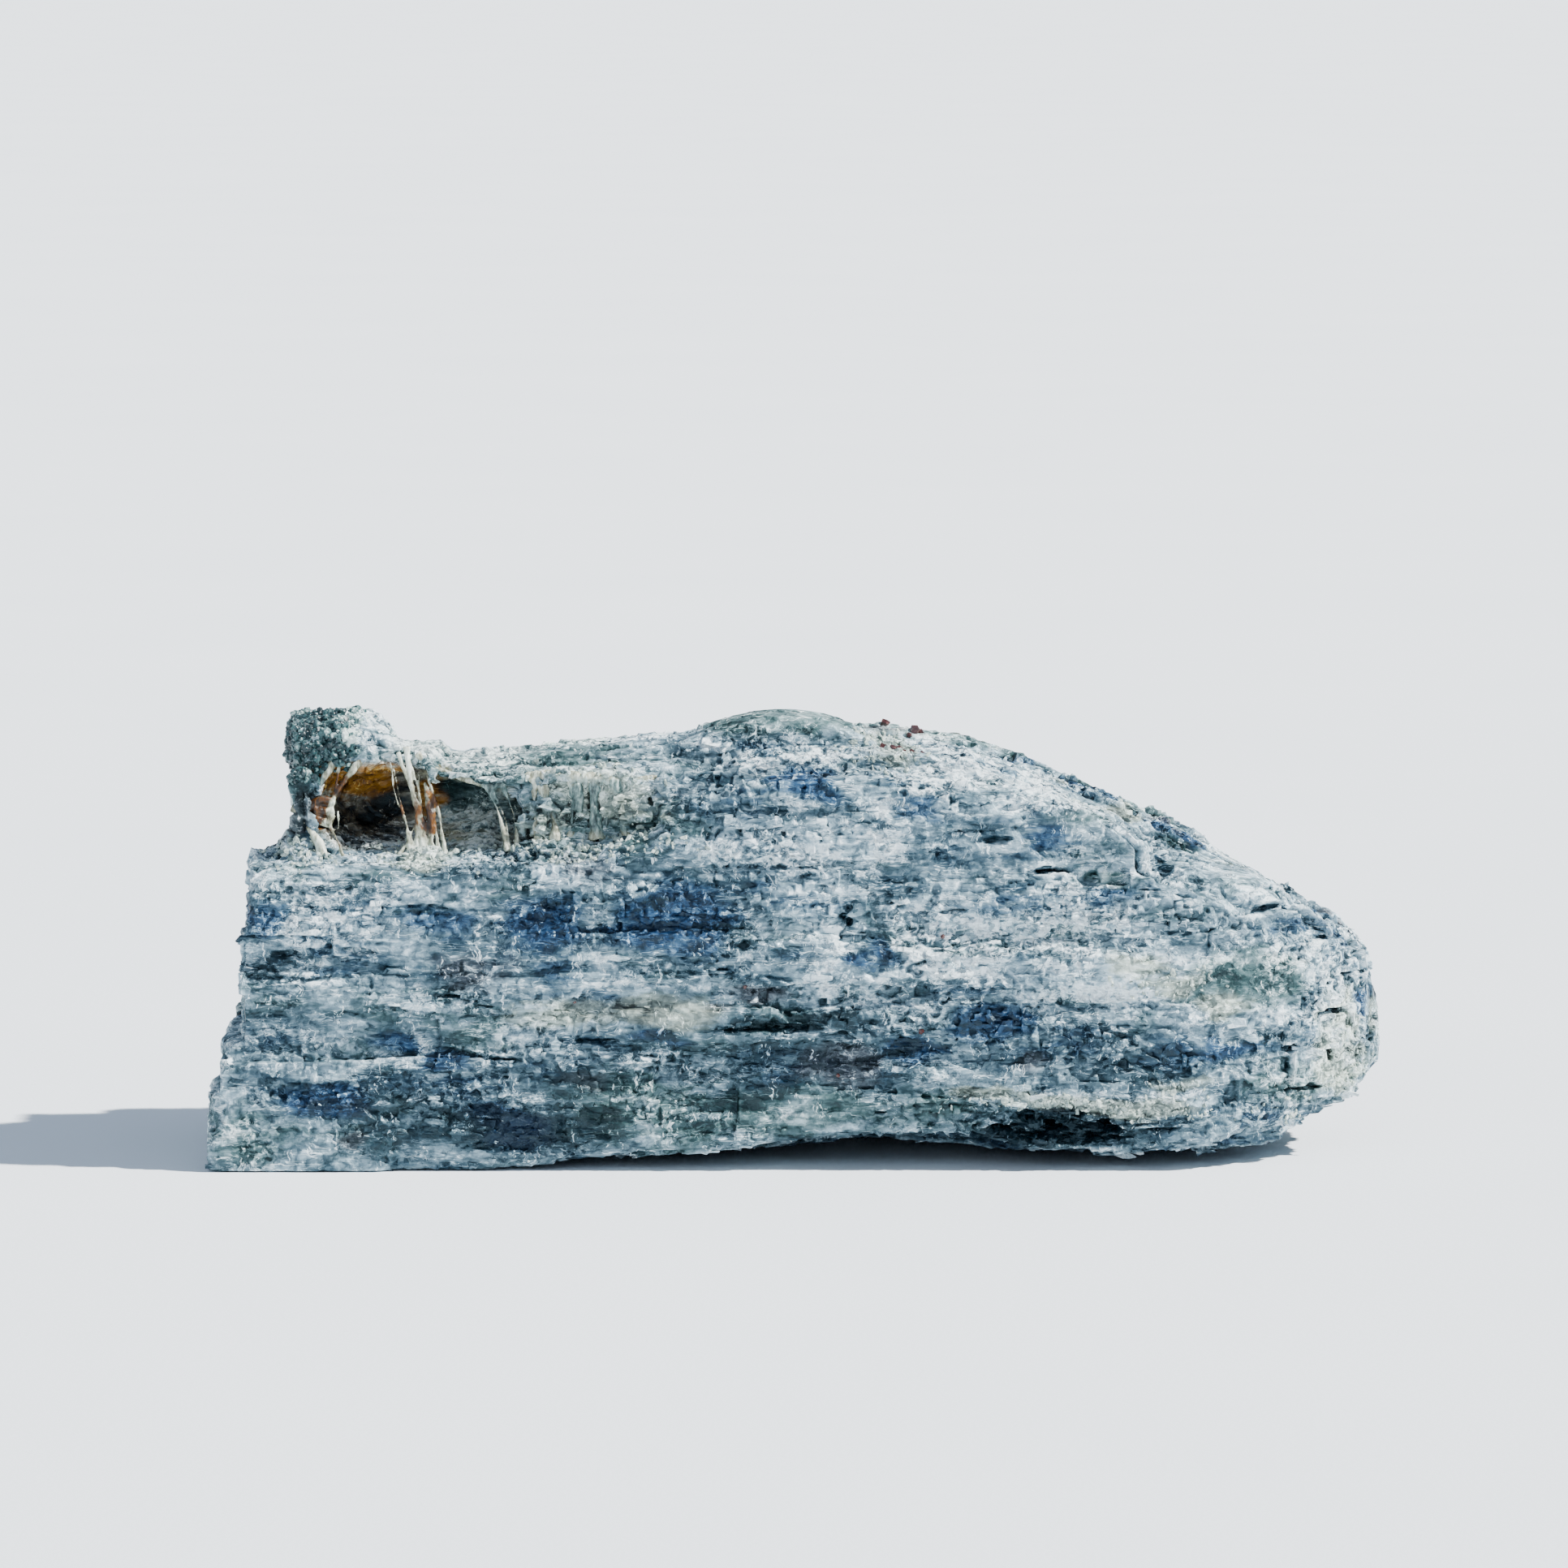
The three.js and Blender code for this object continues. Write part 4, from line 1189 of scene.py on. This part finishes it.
# In the order they cover each other: how far each spreads with the broad noise, and how strong it is.
kyaniteZones = {
    "hollow": (0, 0.9),
    "navy": (1.0, 1.0),
    "green": (-1.6, 1.0),
    "brown": (0, 0.6),
    "cream": (0, 0.8),
    "rust": (0, 1.0),
}
kyaniteDepth = {  # how much deeper each mark makes the stone's tone, or paler below 0; dark and shade bring in painted shade, upward painted light and shade
    "navy": 0.40,
    "dark": 0.50,
    "white": -0.20,
    "brown": 0.14,
    "hollow": -0.15,
    "shade": 0.10,
    # paler on faces turned up and darker on faces turned down: painted light and painted shade
    "upward": -0.06,
}


def kyaniteFinish():
    f = Finish("kyanite")
    ragged = f.bent((1.6, 1.2, 1.0), (0.6, 0.35, 0.3))
    jagged = f.bent((0.45, 0.4, 0.4), (0.16, 0.14, 0.14), ragged)
    broad = f.noise((15, 8, 6), 2) - 0.5
    clouds = f.noise((4.4, 2.4, 1.9), 3, 0.6, ragged) - 0.5
    streaks = f.noise((5.5, 0.8, 0.5), 3, 0.6, ragged) - 0.5
    mottle = f.noise((0.9, 0.5, 0.5), 3, 0.6, jagged) - 0.5
    chipTone, chipTilt = f.facets((1.2, 0.6, 0.7), jagged)
    crumbTone, crumbTilt = f.facets((0.45, 0.4, 0.5), jagged)
    chipped = f.stored("white") * 0.45 + 1.9 * (f.noise((6, 3.5, 2.6), 3, 0.6) - 0.5) + 0.35
    chipped = chipped.step(0.15, 0.75)

    # the soft depth of the blades, with painted shade and light from the dark, shade, upward and relief
    # marks
    tone = 0.57 + 0.60 * broad + 1.6 * clouds + 0.55 * streaks + 0.55 * mottle
    for name, amount in kyaniteDepth.items():
        tone = tone + amount * f.stored(name)
    tone = tone + 0.42 * (chipTone - 0.5) * atLeast(0.25, chipped)
    tone = tone + 0.36 * (crumbTone - 0.5) * atLeast(0.4, chipped)
    relief = f.stored("relief")
    # raised places paler, as broken edges are, and low places darker: painted shade in the pits and gaps
    tone = tone - 0.9 * relief.most(0.0) - 1.5 * relief.least(0.0) - 0.16 * f.stored("pick")

    # thin pale edges where blades and chips have broken
    longEdges = f.veins((4.5, 0.6, 0.42), 0.030, ragged) * f.noise((3, 1.5, 1.2), 2).step(0.45, 0.62)
    chipEdges = f.rims((1.3, 0.7, 0.8), 0.07, jagged) * f.noise((1.6, 1.2, 1.4), 2).step(0.44, 0.60)
    chipEdges = chipEdges * chipped
    flares = f.noise((0.24, 0.3, 1.3), 2, 0.6, jagged).step(0.57, 0.66)
    flares = flares * f.noise((1.5, 1.4, 3.2), 2).step(0.53, 0.66)
    frosted = f.noise((0.5, 0.35, 0.36), 2, 0.6, jagged).step(0.50, 0.72) * (chipped * 1.5 - 0.5).held()
    edges = (0.6 * longEdges).most(0.75 * chipEdges).most(flares).most(frosted * 0.6)
    tone = tone - 0.85 * edges

    border = 1.6 * clouds + 1.1 * streaks + 0.25 * (chipTone - 0.5)
    colour = f.ramp(tone, kyaniteColours["steel"])
    for name, (spread, strength) in kyaniteZones.items():
        place = f.stored(name)
        claim = place + spread * broad + border
        if name == "navy":  # the greenish crest stays free of it
            claim = claim - 0.8 * f.stored("green")
        share = claim.step(0.0, 0.9)
        if not spread:  # these tones stay in their own places
            share = share * place.step(0.05, 0.35)
        colour = f.mix(share * strength, colour, f.ramp(tone, kyaniteColours[name]))

    rough = 0.30 + 0.30 * crumbTone * chipped + 0.15 * chipTone + 0.3 * mottle + 0.2 * edges
    height = 0.10 * mottle + chipTilt * (0.2 + 0.6 * chipped) + crumbTilt * (0.1 + 0.5 * chipped)
    height = height + 0.05 * edges
    print("kyanite: finish made of", len(f.tree.nodes), "nodes")
    return f.done(Base_Color=colour, Roughness=rough, Normal=f.bump(height), Specular_IOR_Level=0.4,
                  Specular_Tint=(0.6, 0.86, 1.0))


floorLook = {"paper": (0.86, 0.91, 0.95), "shade": (0.80, 0.86, 0.91), "side": 16.0}


def layFloor():
    bpy.ops.mesh.primitive_plane_add(size=floorLook["side"])
    sheet = bpy.context.object
    sheet.name = "floor"
    f = Finish("paper")
    grain = f.noise((0.6, 0.6, 0.6), 3, 0.6)
    colour = f.mix(f.noise((60, 60, 60), 2), floorLook["paper"], floorLook["shade"])
    sheet.data.materials.append(f.done(Base_Color=colour, Roughness=0.8, Normal=f.bump(0.03 * grain)))
    print("floor: laid,", floorLook["side"], "metres across")


def put(piece):  # finishes a piece and hangs it on the stone's body
    piece.data.calc_loop_triangles()
    print(piece.name + ":", len(piece.data.loop_triangles), "triangles")
    toMetres(piece)
    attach(piece, "root")


setCamera()
setLight()
layFloor()
piece = shapeStone()
markTones(piece)
kyanite = kyaniteFinish()
put(scatterSplinters(piece.data, kyanite))
put(growDruse(piece.data))
put(growCrust(piece.data))
put(growCurtain())
put(growGarnets(piece.data))
piece.data.shade_smooth()
piece.data.set_sharp_from_angle(angle=math.radians(30))
piece.data.materials.append(kyanite)
put(piece)
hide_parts("kyanite_cluster")
